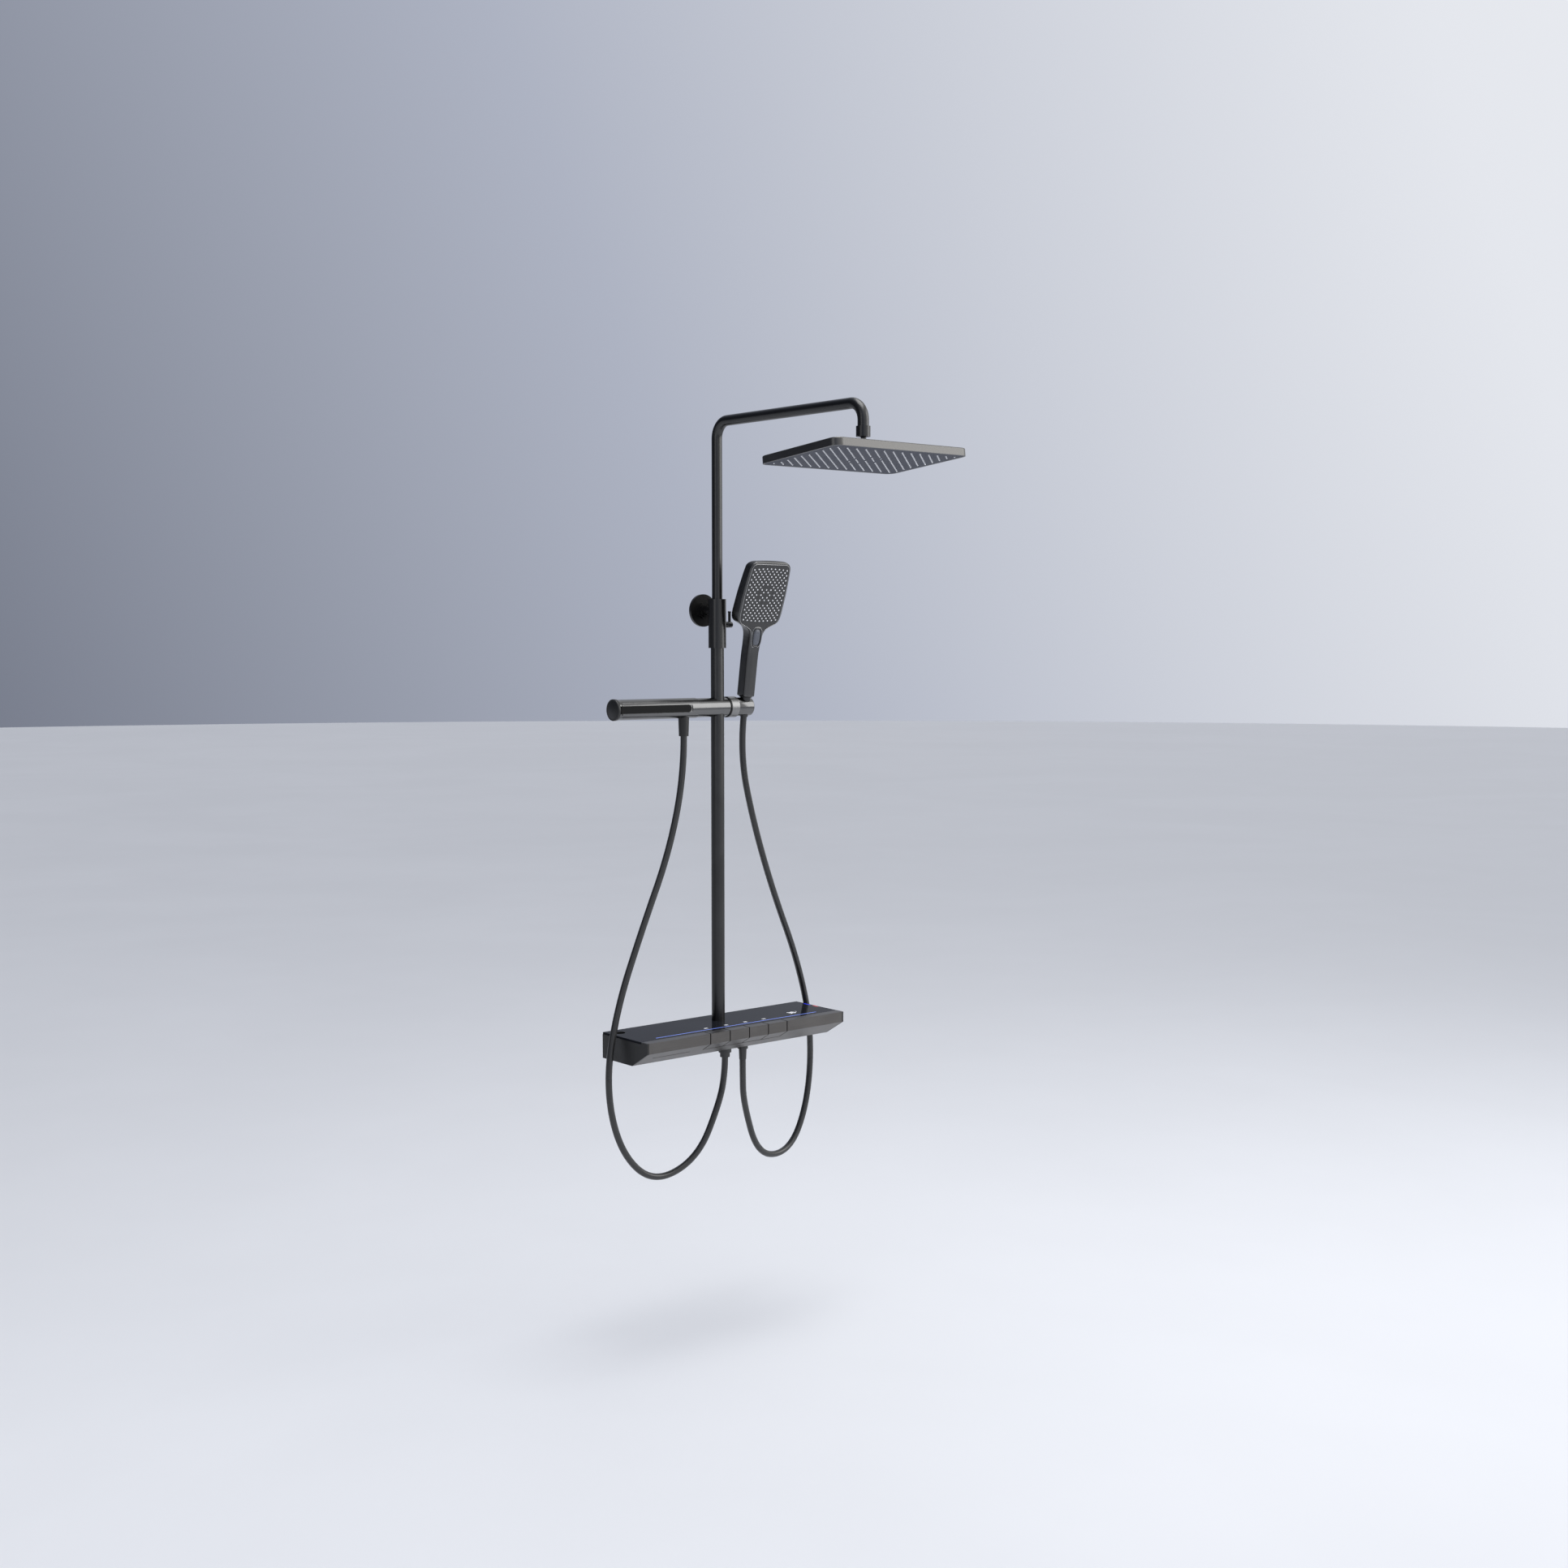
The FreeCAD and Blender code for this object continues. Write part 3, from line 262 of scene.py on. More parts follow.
def finish(name, dark, light, rough, metal=0.0, grain=1400.0, stretch=None, bump=0.1, smear_size=9.0, coat=0.0,
           ior=1.5):
    """A finish. With m = (smear + grain) / 2, colour = dark + m (light - dark) and roughness = low + m (high - low).
    The grain is brushed where stretch is given, and an even speckle of that density where it isn't."""
    material = bpy.data.materials.new(name)
    material.use_nodes = True
    tree = material.node_tree
    shader = tree.nodes["Principled BSDF"]
    shader.inputs["Metallic"].default_value = metal
    shader.inputs["Coat Weight"].default_value = coat
    shader.inputs["Coat Roughness"].default_value = COAT_ROUGHNESS
    shader.inputs["IOR"].default_value = ior
    place = add(tree, "ShaderNodeTexCoord").outputs["Object"]
    smear = add(tree, "ShaderNodeGroup", node_tree=SMEARS)
    smear.inputs["Size"].default_value = smear_size
    wire(tree, place, smear.inputs["Vector"])
    if stretch is not None:
        fine = add(tree, "ShaderNodeGroup", node_tree=STREAKS)
        fine.inputs["Stretch"].default_value = stretch
    else:
        fine = add(tree, "ShaderNodeGroup", node_tree=SPECKLE)
        fine.inputs["Size"].default_value = grain
    wire(tree, place, fine.inputs["Vector"])
    colour = add(tree, "ShaderNodeMix", data_type="RGBA")
    colour.inputs[COLOUR_A].default_value = (*dark, 1.0)
    colour.inputs[COLOUR_B].default_value = (*light, 1.0)
    mask = add(tree, "ShaderNodeMath", operation="ADD")
    wire(tree, smear.outputs[0], mask.inputs[0])
    wire(tree, fine.outputs[0], mask.inputs[1])
    half = add(tree, "ShaderNodeMath", operation="MULTIPLY")
    half.inputs[1].default_value = 0.5
    wire(tree, mask.outputs[0], half.inputs[0])
    wire(tree, half.outputs[0], colour.inputs["Factor"])
    wire(tree, colour.outputs["Result"], shader.inputs["Base Color"])
    gloss = add(tree, "ShaderNodeMapRange", To_Min=rough[0], To_Max=rough[1])
    wire(tree, half.outputs[0], gloss.inputs["Value"])
    wire(tree, gloss.outputs["Result"], shader.inputs["Roughness"])
    relief = add(tree, "ShaderNodeBump")
    relief.inputs["Strength"].default_value = bump
    relief.inputs["Distance"].default_value = BUMP_DEPTH
    wire(tree, fine.outputs[0], relief.inputs["Height"])
    wire(tree, relief.outputs["Normal"], shader.inputs["Normal"])
    return material


def grey(value, blue=0.0):
    """A grey, a little cooler where blue is above 0."""
    return (value, value * (1 + 0.3 * blue), value * (1 + blue))


# %% Metals
GUNMETAL = finish("gunmetal", grey(0.058), grey(0.074), (0.26, 0.36), metal=1.0, grain=2200, bump=0.03)
GUNMETAL_GLOSS = finish("gunmetal_gloss", grey(0.13), grey(0.16), (0.16, 0.22), metal=1.0, grain=2600, bump=0.02)
SHELF_METAL = finish("shelf_brushed", (0.105, 0.1, 0.096), (0.145, 0.139, 0.134), (0.34, 0.46), metal=1.0,
                     stretch=(12.0, 700.0, 700.0), bump=0.05)
CAP_METAL = finish("cap_satin", grey(0.05), grey(0.062), (0.36, 0.46), metal=1.0, grain=1500, bump=0.04)
RING_METAL = finish("ring_brushed", grey(0.20), grey(0.28), (0.32, 0.42), metal=1.0,
                    stretch=(900.0, 40.0, 40.0), bump=0.06)
HEAD_METAL = finish("head_satin", (0.112, 0.11, 0.107), (0.135, 0.133, 0.13), (0.32, 0.4), metal=1.0, grain=1700,
                    bump=0.03)
BRASS = finish("machined_brass", (0.55, 0.4, 0.17), (0.66, 0.5, 0.25), (0.28, 0.42), metal=1.0,
               stretch=(900.0, 900.0, 60.0), bump=0.06)
STEEL = finish("plain_steel", grey(0.45), grey(0.55), (0.28, 0.4), metal=1.0, stretch=(60.0, 900.0, 900.0), bump=0.06)
RIM_METAL = finish("rim_bright", grey(0.32), grey(0.42), (0.16, 0.24), metal=1.0, grain=2000, bump=0.02)

# %% Glass, plastics, rubber and silicone
BLACK_GLASS = finish("black_glass", (0.010, 0.011, 0.014), (0.016, 0.017, 0.022), (0.03, 0.08), grain=300,
                     bump=0.0, smear_size=6.0, ior=1.07)
BLACK_PLASTIC = finish("black_plastic", grey(0.008), grey(0.014), (0.38, 0.5), grain=1500, bump=0.25)
GLOSS_BLACK = finish("gloss_black", grey(0.010, 0.2), grey(0.016, 0.2), (0.16, 0.24), grain=900, bump=0.06,
                     coat=0.3)
PAD_RUBBER = finish("pad_rubber", grey(0.003), grey(0.006), (0.5, 0.62), grain=900, bump=0.2, ior=1.25)
SEAL_RUBBER = finish("seal_rubber", grey(0.006), grey(0.012), (0.5, 0.65), grain=1100, bump=0.3)
HOSE_SKIN = finish("hose_skin", grey(0.016), grey(0.024), (0.24, 0.34), grain=1200, bump=0.05, coat=0.2)
SLATE = finish("slate_plate", (0.034, 0.039, 0.056), (0.043, 0.049, 0.070), (0.4, 0.5), grain=1800, bump=0.05,
               ior=1.2)
HANDSET_PLATE = finish("handset_plate", grey(0.024, 0.06), grey(0.032, 0.06), (0.36, 0.46), grain=1500, bump=0.05)
HANDLE_SKIN = finish("handle_skin", grey(0.085), grey(0.105), (0.26, 0.36), metal=1.0, grain=1500, bump=0.03)
BUTTON_GREY = finish("button_grey", (0.085, 0.092, 0.112), (0.1, 0.11, 0.13), (0.3, 0.4), grain=1300, bump=0.15)
SILICONE = finish("pale_silicone", grey(0.80, 0.03), grey(0.92, 0.03), (0.42, 0.55), grain=1800, bump=0.05)
WHITE_PLASTIC = finish("white_plastic", grey(0.62), grey(0.7), (0.4, 0.5), grain=1200, bump=0.15)


def glowing(name, colour, strength):
    """A printed or lit mark: a base colour that wavers a little along the strip, and its own light, which is real
    light on a lit part and a painted glow on a printed mark.
    """
    material = finish(name, colour, tuple(0.8 * c for c in colour), (0.35, 0.45), grain=1200, bump=0.05)
    shader = material.node_tree.nodes["Principled BSDF"]
    shader.inputs["Emission Color"].default_value = (*colour, 1.0)
    shader.inputs["Emission Strength"].default_value = strength
    return material


BLUE_LIGHT = glowing("blue_light", (0.11, 0.17, 0.55), 0.9)
# The white, blue and red marks are print, and their emission is a painted glow, since print gives no light.
WHITE_MARK_PAINTED_GLOW = glowing("white_mark_painted_glow", (0.85, 0.86, 0.9), 0.6)
BLUE_MARK_PAINTED_GLOW = glowing("blue_mark_painted_glow", (0.02, 0.03, 0.7), 0.6)
RED_MARK_PAINTED_GLOW = glowing("red_mark_painted_glow", (0.6, 0.05, 0.06), 0.4)
print("finishes:", len(bpy.data.materials))

# %% [markdown]
# ## Finishing the engineered pieces
# The turned and extruded pieces already have the right shape, so they keep their own mesh and only take a
# finish. The record names a material slot for each node, and one table turns a slot into a finish.
# A second table names the few nodes whose finish differs from the rest of their slot.

# %% Finish by slot
SLOT_FINISH = {
    "gunmetal": GUNMETAL, "gunmetal_gloss": GUNMETAL_GLOSS, "shelf_metal": SHELF_METAL,
    "key_metal": SHELF_METAL, "ring_metal": RING_METAL, "black_glass": BLACK_GLASS,
    "black_plastic": BLACK_PLASTIC, "pad_rubber": SEAL_RUBBER, "seal_rubber": SEAL_RUBBER,
    "hose_skin": HOSE_SKIN, "head_metal": HEAD_METAL, "face_slate": SLATE, "handset_skin": GLOSS_BLACK,
    "button_grey": BUTTON_GREY, "cup_plastic": BLACK_PLASTIC, "light": BLUE_LIGHT, "display": GLOSS_BLACK,
    "brass": BRASS, "steel": STEEL, "white_plastic": WHITE_PLASTIC,
}
OWN_FINISH = {
    "holder_bush": BLACK_PLASTIC, "gun_trigger": PAD_RUBBER, "lock_knob": GLOSS_BLACK,
    "left_end_cap": CAP_METAL, "right_end_cap": CAP_METAL, "left_service_plug": CAP_METAL,
}
for part in frame["record"]["subparts"]:
    node = frame["nodes"][part["node"]]
    node.data.materials.clear()
    node.data.materials.append(OWN_FINISH.get(part["node"], SLOT_FINISH[part["material_slot"]]))

# %% [markdown]
# ## The hoses
# Both hoses hang free between the holder and the shelf. Each route below is a handful of given points,
# the same ones the solid follows, and a NURBS curve of order 3 passes smoothly near them. The order and the
# clamped ends are set after the points exist. The curve is read back as a dense line, and the hose is a mesh
# tube built along that line.

# %% Routes and their lines
GUN_ROUTE = [
    (-0.085, -0.050, 0.6018), (-0.085, -0.050, 0.525), (-0.122, -0.051, 0.377), (-0.190, -0.053, 0.230),
    (-0.254, -0.055, 0.078), (-0.283, -0.058, -0.066), (-0.254, -0.061, -0.200), (-0.175, -0.064, -0.278),
    (-0.067, -0.068, -0.245), (-0.014, -0.073, -0.135), (-0.003, -0.075, -0.075), (-0.003, -0.075, -0.0462)]
HAND_ROUTE = [
    (0.066, -0.05151, 0.63702), (0.066, -0.04013, 0.5609), (0.102, -0.035, 0.427), (0.161, -0.027, 0.276),
    (0.239, -0.019, 0.114), (0.281, -0.014, -0.035), (0.268, -0.019, -0.186), (0.207, -0.032, -0.285),
    (0.110, -0.043, -0.278), (0.054, -0.063, -0.150), (0.043, -0.075, -0.085), (0.043, -0.075, -0.0577)]
HOSE = 0.013


def smooth_line(route, resolution=24):
    """The points of a clamped NURBS curve of order 3 through a route's control points."""
    curve = bpy.data.curves.new("route", "CURVE")
    curve.dimensions = "3D"
    spline = curve.splines.new("NURBS")
    spline.points.add(len(route) - 1)
    spline.points.foreach_set("co", np.c_[np.array(route), np.ones(len(route))].ravel())
    spline.order_u = 3
    spline.use_endpoint_u = True
    spline.resolution_u = resolution
    holder = bpy.data.objects.new("route", curve)
    bpy.context.scene.collection.objects.link(holder)
    mesh = bpy.data.meshes.new_from_object(holder)
    line = np.empty(len(mesh.vertices) * 3)
    mesh.vertices.foreach_get("co", line)
    bpy.data.objects.remove(holder)
    bpy.data.curves.remove(curve)
    bpy.data.meshes.remove(mesh)
    return line.reshape(-1, 3)


def length_of(line):
    return float(np.linalg.norm(np.diff(line, axis=0), axis=1).sum())


gun_line, hand_line = smooth_line(GUN_ROUTE), smooth_line(HAND_ROUTE)
print("hose lines:", round(length_of(gun_line), 3), round(length_of(hand_line), 3))

# %% [markdown]
# The lower stretch of each hose hangs between the shelf and the holder, and the short upper stretch leads up
# to the gun or the handset. They meet at a set height. Inside the top of the handset's hose sits a
# slimmer tail that rides with the handset, so that a lifted handset still draws its hose after it.

# %% Hose pieces
MEET = 0.50          # height where the lower and upper stretches meet
TAIL_LOW = 0.572     # lower end of the tail inside the handset's hose
TAIL_GAP = 0.0007    # how much slimmer the tail is than the hose round it


def hose_piece(name, line, radius=HOSE / 2):
    piece = tube_along(name, line, radius, HOSE_SKIN, segments=28)
    return piece


def split_line(line):
    """The first point below the meeting height splits a line; both parts keep it."""
    at = int(np.argmax(line[:, 2] < MEET))
    return line[:at + 1], line[at:]


gun_top_line, gun_low_line = split_line(gun_line)
hand_top_line, hand_low_line = split_line(hand_line)
gun_hose = hose_piece("gun_hose", gun_low_line)
gun_hose_top = hose_piece("gun_hose_top", gun_top_line)
handset_hose = hose_piece("handset_hose", hand_low_line)
handset_hose_top = hose_piece("handset_hose_top", hand_top_line)
tail_line = hand_top_line[hand_top_line[:, 2] > TAIL_LOW]
handset_hose_tail = hose_piece("handset_hose_tail", tail_line, HOSE / 2 - TAIL_GAP)
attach(handset_hose_tail, "handset")
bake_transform(gun_hose)
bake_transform(gun_hose_top)
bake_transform(handset_hose)
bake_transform(handset_hose_top)
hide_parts("hose_gun")
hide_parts("hose_handset")

# %% [markdown]
# ## The rain head's nozzles
# Under the head, pale silicone nozzles stand in straight slanting rows, 7 mm apart from front to back, and
# a few are left out near the centre. One small dome, repeated by arrays, makes them all: each dome has only
# a few dozen faces, because there are hundreds.

# %% Dome field
def domes(name, centres, across, upward, outward, radius, height, material, sides=10, rings=4):
    """Domes: each ring of each dome stands at radius * cos(t) from its centre and height * sin(t) above it,
    for t from 0 to a right angle, and sinks a little below the surface so that it is closed and rooted."""
    t = np.linspace(0, np.pi / 2 * 0.93, rings)
    angle = np.linspace(0, 2 * np.pi, sides, endpoint=False)
    out = np.concatenate([[-0.4 * height], height * np.sin(t)])
    wide = np.concatenate([[radius], radius * np.cos(t)])
    across, upward, outward = (np.asarray(v, float) for v in (across, upward, outward))
    one = (wide[:, None, None] * (np.cos(angle)[None, :, None] * across + np.sin(angle)[None, :, None] * upward)
           + out[:, None, None] * outward).reshape(-1, 3)
    centres = np.asarray(centres, float)
    points = (centres[:, None] + one[None]).reshape(-1, 3)
    quads = grid_faces(rings + 1, sides, True)
    if np.dot(np.cross(across, upward), outward) < 0:
        quads = quads[:, ::-1]
        lids = [np.arange(sides), np.arange(rings * sides, (rings + 1) * sides)[::-1]]
    else:
        lids = [np.arange(sides)[::-1], np.arange(rings * sides, (rings + 1) * sides)]
    shift = np.arange(len(centres)) * len(one)
    faces = (quads[None] + shift[:, None, None]).reshape(-1, 4).tolist()
    for lid in lids:
        faces += (lid[None] + shift[:, None]).tolist()
    return mesh_piece(name, points, faces, material, crease=60)


# %% Rain nozzles
TILT = math.radians(5.6)   # the head leans down towards the front
HEAD_DROP = 0.0482         # from the centre of the ball to the face
DOT, ROW = (8.0, 7.0), 21.9
HEAD_BALL = np.array([0.0, -0.478, 1.1635])
HEAD_RIGHT = np.array([1.0, 0.0, 0.0])
HEAD_BACK = np.array([0.0, math.cos(TILT), -math.sin(TILT)])
HEAD_UP = np.array([0.0, math.sin(TILT), math.cos(TILT)])
FACE_CENTRE = HEAD_BALL - HEAD_DROP * HEAD_UP


def rain_lattice():
    """Rows k and dots j, in millimetres: each dot is DOT further right and back than the last, and each row
    starts ROW further right, as far as the plate's ends allow. Each row passes nearest the centre at
    j = -1.55 k, and a few dots at set distances from there are missing."""
    k, j = np.meshgrid(np.arange(-11, 12), np.arange(-12, 13), indexing="ij")
    x, y = DOT[0] * j + ROW * k, DOT[1] * j
    foot = abs(j + 1.55 * k)
    keep = abs(x) < 146
    keep &= ~((k == 0) & (j == 0))
    keep &= ~((abs(k) == 1) & (abs(foot - 2.5) < 0.3))
    keep &= ~((abs(k) == 2) & (abs(foot - 1.0) < 0.3))
    return x[keep] * MM, y[keep] * MM


x, y = rain_lattice()
spots = FACE_CENTRE + x[:, None] * HEAD_RIGHT + y[:, None] * HEAD_BACK
rain_nozzles = domes("rain_nozzles", spots, HEAD_RIGHT, HEAD_BACK, -HEAD_UP, 1.6 * MM, 1.4 * MM, SILICONE)
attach(rain_nozzles, "rain_head")
print("rain nozzles:", len(x))

# %% [markdown]
# ## The handset
# The handset is one moulding: a handle, a neck that flares, and a flat head that leans a little further
# forward than the handle does. It is made as a loft. Each section is a rounded rectangle across the handset,
# and tables say how its half-width, its front line, its thickness and its lean change with the height v along
# the front, where v is 0 at the foot of the head. A flat plate of another colour lies in the front, and its
# outline comes from the same tables, a few millimetres in.

# %% Handset frame
# v is the height along the front; a is along the handle and e out of it, both from the middle of the barrel
LEAN, HEAD_TURN = math.radians(8.5), math.radians(12.1)
HAND_BASE = np.array([0.066, -0.0545, 0.657])
HAND_UP = np.array([0.0, -math.sin(LEAN), math.cos(LEAN)])
HAND_OUT = np.array([0.0, -math.cos(LEAN), -math.sin(LEAN)])
FRONT_V = np.array([-149, -75, -60, -46, -28, -12, 0, 140.0])
FRONT_A = np.array([22, 96, 111, 125, 143, 159, 171, 171 + 140 * math.cos(HEAD_TURN)])
FRONT_E = np.array([13, 13.3, 13.8, 15.3, 17.0, 18.2, 19, 19 + 140 * math.sin(HEAD_TURN)])
WIDE_V = np.array([-149, -60, -46, -36, -28, -22, -17, -13, -10, -7, -4, -1, 3, 8, 14, 22, 60, 100, 110.5])
WIDE_W = np.array([14, 14, 14.2, 14.7, 15.5, 16.9, 19.2, 22.4, 26.4, 31.8, 38.8, 45.5, 50.6, 53.2, 54.5, 55.2, 55.3,
                   53.0, 51.8])
TOP_V, TOP_R = 110.5, 16.0


def half_width(v, inset=0.0):
    """Half-width at v: the table below the top corners, then the quarter circle of the corners."""
    over = np.clip((v - TOP_V) / (TOP_R - inset), 0, 1)
    side = np.interp(np.minimum(v, TOP_V), WIDE_V, WIDE_W) - inset
    return side - (TOP_R - inset) * (1 - np.sqrt(1 - over ** 2))


def front_point(v, out=0.0):
    """(along, out) of the front line at v, moved out by a distance square to the local lean."""
    a, e = np.interp(v, FRONT_V, FRONT_A), np.interp(v, FRONT_V, FRONT_E)
    lean = lean_at(v)
    return a - out * np.sin(lean), e + out * np.cos(lean)


def arch(v, x):
    """The head's top edge bows up in its middle: a parabola across, growing with the square of the height."""
    return 2.2 * np.clip((v - 20) / 108, 0, 1) ** 2 * (1 - (x / 55) ** 2)


def lean_at(v):
    """The head's lean at v: none on the handle, full on the head, with a smooth step on the neck."""
    t = np.clip((np.asarray(v, float) + 60) / 66, 0, 1)
    return HEAD_TURN * t * t * (3 - 2 * t)


def on_handset(x, a, e):
    """World points from millimetres right, along and out."""
    return (HAND_BASE + MM * (np.asarray(x)[..., None] * np.array([1.0, 0.0, 0.0])
                              + np.asarray(a)[..., None] * HAND_UP + np.asarray(e)[..., None] * HAND_OUT))


# %% Loft of rounded rectangles
def handset_loft(name, v, width, front, thick, r_front, r_back, crown, material, steps=7):
    """Sections at heights v: a rounded rectangle of half-width width, from front out to front - thick.
    Corner points are centre + r (cos, sin), and the long sides bulge by crown * (1 - s^2)."""
    v = np.asarray(v, float)
    t = np.linspace(0, np.pi / 2, steps)
    s = np.linspace(1, -1, 13)[1:-1]
    one = np.ones_like(v)[:, None]
    r_f = np.minimum(r_front, np.minimum(width, thick / 2) * 0.98)[:, None]
    r_b = np.minimum(r_back, np.minimum(width, thick / 2) * 0.98)[:, None]
    w, top, low = width[:, None], front[:, None], (front - thick)[:, None]
    xs = [(w - r_f) + r_f * np.cos(t), (w - r_f) * s, -(w - r_f) - r_f * np.sin(t),
          -(w - r_b) - r_b * np.cos(t), -(w - r_b) * s, (w - r_b) + r_b * np.sin(t)]
    bulge = crown[:, None] * (1 - s ** 2)
    ys = [(top - r_f) + r_f * np.sin(t), top + bulge, (top - r_f) + r_f * np.cos(t),
          (low + r_b) - r_b * np.sin(t), low - bulge, (low + r_b) - r_b * np.cos(t)]
    x, out = np.concatenate([b * one for b in xs], axis=1), np.concatenate([b * one for b in ys], axis=1)
    lean = lean_at(v)[:, None]
    a0, e0 = front_point(v[:, None] + arch(v[:, None], x))
    a, e = a0 - out * np.sin(lean), e0 + out * np.cos(lean)
    return skin(name, on_handset(x, a, e), material, flip=True, crease=50)


# %% Handset body
V_BODY = np.concatenate([[-149, -148.6, -148], np.linspace(-146, -60, 16), np.linspace(-58, -20, 20),
                         np.linspace(-18, 24, 43), np.linspace(28, 110, 12),
                         TOP_V + TOP_R * np.sin(np.linspace(0, np.pi / 2, 22))])
FRONT_ROUND, BACK_ROUND = 3.0, 14.0   # how far below the top edge the front and the back start to round over
soft_end = np.clip((V_BODY - (TOP_V + TOP_R - FRONT_ROUND)) / FRONT_ROUND, 0, 1)
soft_start = np.clip((-147.8 - V_BODY) / 1.2, 0, 1)
shrink = FRONT_ROUND * (1 - np.sqrt(1 - soft_end ** 2)) + soft_start
back_end = np.clip((V_BODY - (TOP_V + TOP_R - BACK_ROUND)) / BACK_ROUND, 0, 1)
thickness = np.interp(V_BODY, [-149, -60, -28, 0, 20, 60, 114], [26.6, 26.8, 27.4, 27.6, 26.8, 24.6, 21.5])
thickness = thickness - 13.5 * (1 - np.sqrt(1 - back_end ** 2)) - shrink - soft_start
handset_shell = handset_loft(
    "handset_shell", V_BODY, half_width(V_BODY) - soft_start, -shrink, thickness,
    r_front=np.interp(V_BODY, [-60, 0], [4.5, 3.2]), r_back=np.interp(V_BODY, [-60, 0], [5, 6]),
    crown=np.interp(V_BODY, [-60, -30], [2.2, 0.0]), material=HANDLE_SKIN)

# %% Front plate and its bright rim
PLATE_INSET, PLATE_OUT = 4.0, 0.35
V_PLATE = np.concatenate([np.linspace(-50, -20, 16), np.linspace(-18, 24, 43), np.linspace(28, 110, 10),
                          TOP_V + (TOP_R - PLATE_INSET) * np.sin(np.linspace(0, np.pi / 2, 16))])
POCKET_V, POCKET_R = -37.5, 12.5   # the pocket round the button ends in a half circle


def plate_width(v):
    """Half-width of the plate: the body's, less the inset, closing in a half circle below the button."""
    v = np.asarray(v, float)
    close = np.clip((POCKET_V - v) / POCKET_R, 0, 1)
    wide = half_width(v, PLATE_INSET)
    return np.where(v < POCKET_V, np.minimum(wide, 12.6) * np.sqrt(1 - close ** 2), np.maximum(wide, 0.2)) + 0.05


level = np.ones_like(V_PLATE)
plate = handset_loft(
    "handset_front_plate", V_PLATE, np.maximum(plate_width(V_PLATE), 0.3), PLATE_OUT * level, thick=2.4 * level,
    r_front=0.3 * level, r_back=0.3 * level, crown=0 * level, material=HANDSET_PLATE, steps=3)
V_RIM = np.concatenate([-50 + 30 * np.linspace(0, 1, 24) ** 1.6, V_PLATE[17:]])
rim_x = np.concatenate([plate_width(V_RIM), -plate_width(V_RIM)[::-1]])
rim_v = np.concatenate([V_RIM, V_RIM[::-1]])
rim_a, rim_e = front_point(rim_v + arch(rim_v, rim_x), 0.25)
rim_path = on_handset(rim_x, rim_a, rim_e)
keep = np.r_[True, np.linalg.norm(np.diff(rim_path, axis=0), axis=1) > 0.0002]
handset_rim = tube_along("handset_rim", rim_path[keep], 0.55 * MM, RIM_METAL, segments=10, up=-HAND_OUT,
                         closed_path=True)
for piece, label in ((handset_shell, "handset_skin"), (plate, "face_slate"), (handset_rim, "ring_metal")):
    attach(piece, "handset")
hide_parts("handset_body")
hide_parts("handset_face")

# %% Handset nozzles
DOT_ACROSS, DOT_UP, LATTICE_V = 5.65, 5.45, 60.2


def handset_lattice():
    """Columns i and rows j of dots, alternate rows shifted; both spacings shrink a little towards the edges,
    like a barrel. The middle dot and eight around it, at (1, 3) and (3, 1), are missing."""
    i, j = np.meshgrid(np.arange(-8, 9), np.arange(-10, 11), indexing="ij")
    keep = (i + j) % 2 == 0
    for a, b in ((0, 0), (1, 3), (3, 1)):
        keep &= ~((abs(i) == a) & (abs(j) == b))
    i, j = i[keep], j[keep]
    return DOT_ACROSS * i * (1 - 0.082 * (j / 10) ** 2), LATTICE_V + DOT_UP * j * (1 - 0.05 * (i / 8) ** 2)


x, v = handset_lattice()
a, e = front_point(v, PLATE_OUT)
FACE_UP = math.cos(HEAD_TURN) * HAND_UP + math.sin(HEAD_TURN) * HAND_OUT
FACE_OUT = -math.sin(HEAD_TURN) * HAND_UP + math.cos(HEAD_TURN) * HAND_OUT
handset_nozzles = domes("handset_nozzles", on_handset(x, a, e), [1.0, 0, 0], FACE_UP, FACE_OUT, 1.6 * MM,
                        1.1 * MM, SILICONE)
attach(handset_nozzles, "handset")
print("handset nozzles:", len(x))

# %% [markdown]
# The push button is a long oval cushion in a recess. Its surface is polar: the ring at fraction r of the way
# out is a rounded oval, and the height falls off with a high power of r, which gives a flat top with soft
# shoulders. A dark collar and a thin bright rim frame it.

# %% Button and collar
def oval(angle, half_x, half_v, power=3.0):
    """Points of a superellipse: x = a |cos|^(2/p), v = b |sin|^(2/p), with their signs."""
    c, s = np.cos(angle), np.sin(angle)
    return half_x * np.sign(c) * abs(c) ** (2 / power), half_v * np.sign(s) * abs(s) ** (2 / power)


BUTTON_V = -28.0
ring = np.linspace(0, 2 * np.pi, 48, endpoint=False)
fraction = np.concatenate([[1.0, 1.0], np.sqrt(np.linspace(0.98, 0.002, 12))])
height = np.concatenate([[-1.5], [0.6], 0.6 + 1.9 * (1 - fraction[2:] ** 5)])
ox, ov = oval(ring, 8.4, 16.4)
x, v = fraction[:, None] * ox, BUTTON_V + fraction[:, None] * ov
a, e = front_point(v, height[:, None])
button = skin("push_button", on_handset(x, a, e), BUTTON_GREY, flip=True)
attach(button, "handset_push")
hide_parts("handset_button")


def oval_ring(name, half_x, half_v, radius, out, material):
    """A round bead that follows an oval on the handset's front."""
    bx, bv = oval(np.linspace(0, 2 * np.pi, 72, endpoint=False), half_x, half_v)
    ba, be = front_point(BUTTON_V + bv, out)
    bead = tube_along(name, on_handset(bx, ba, be), radius * MM, material, segments=12, up=-HAND_OUT,
                      closed_path=True)
    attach(bead, "handset")
    return bead


oval_ring("button_collar", 10.6, 18.6, 1.9, 0.2, GLOSS_BLACK)
oval_ring("button_rim", 12.7, 20.7, 0.7, 0.4, RIM_METAL)

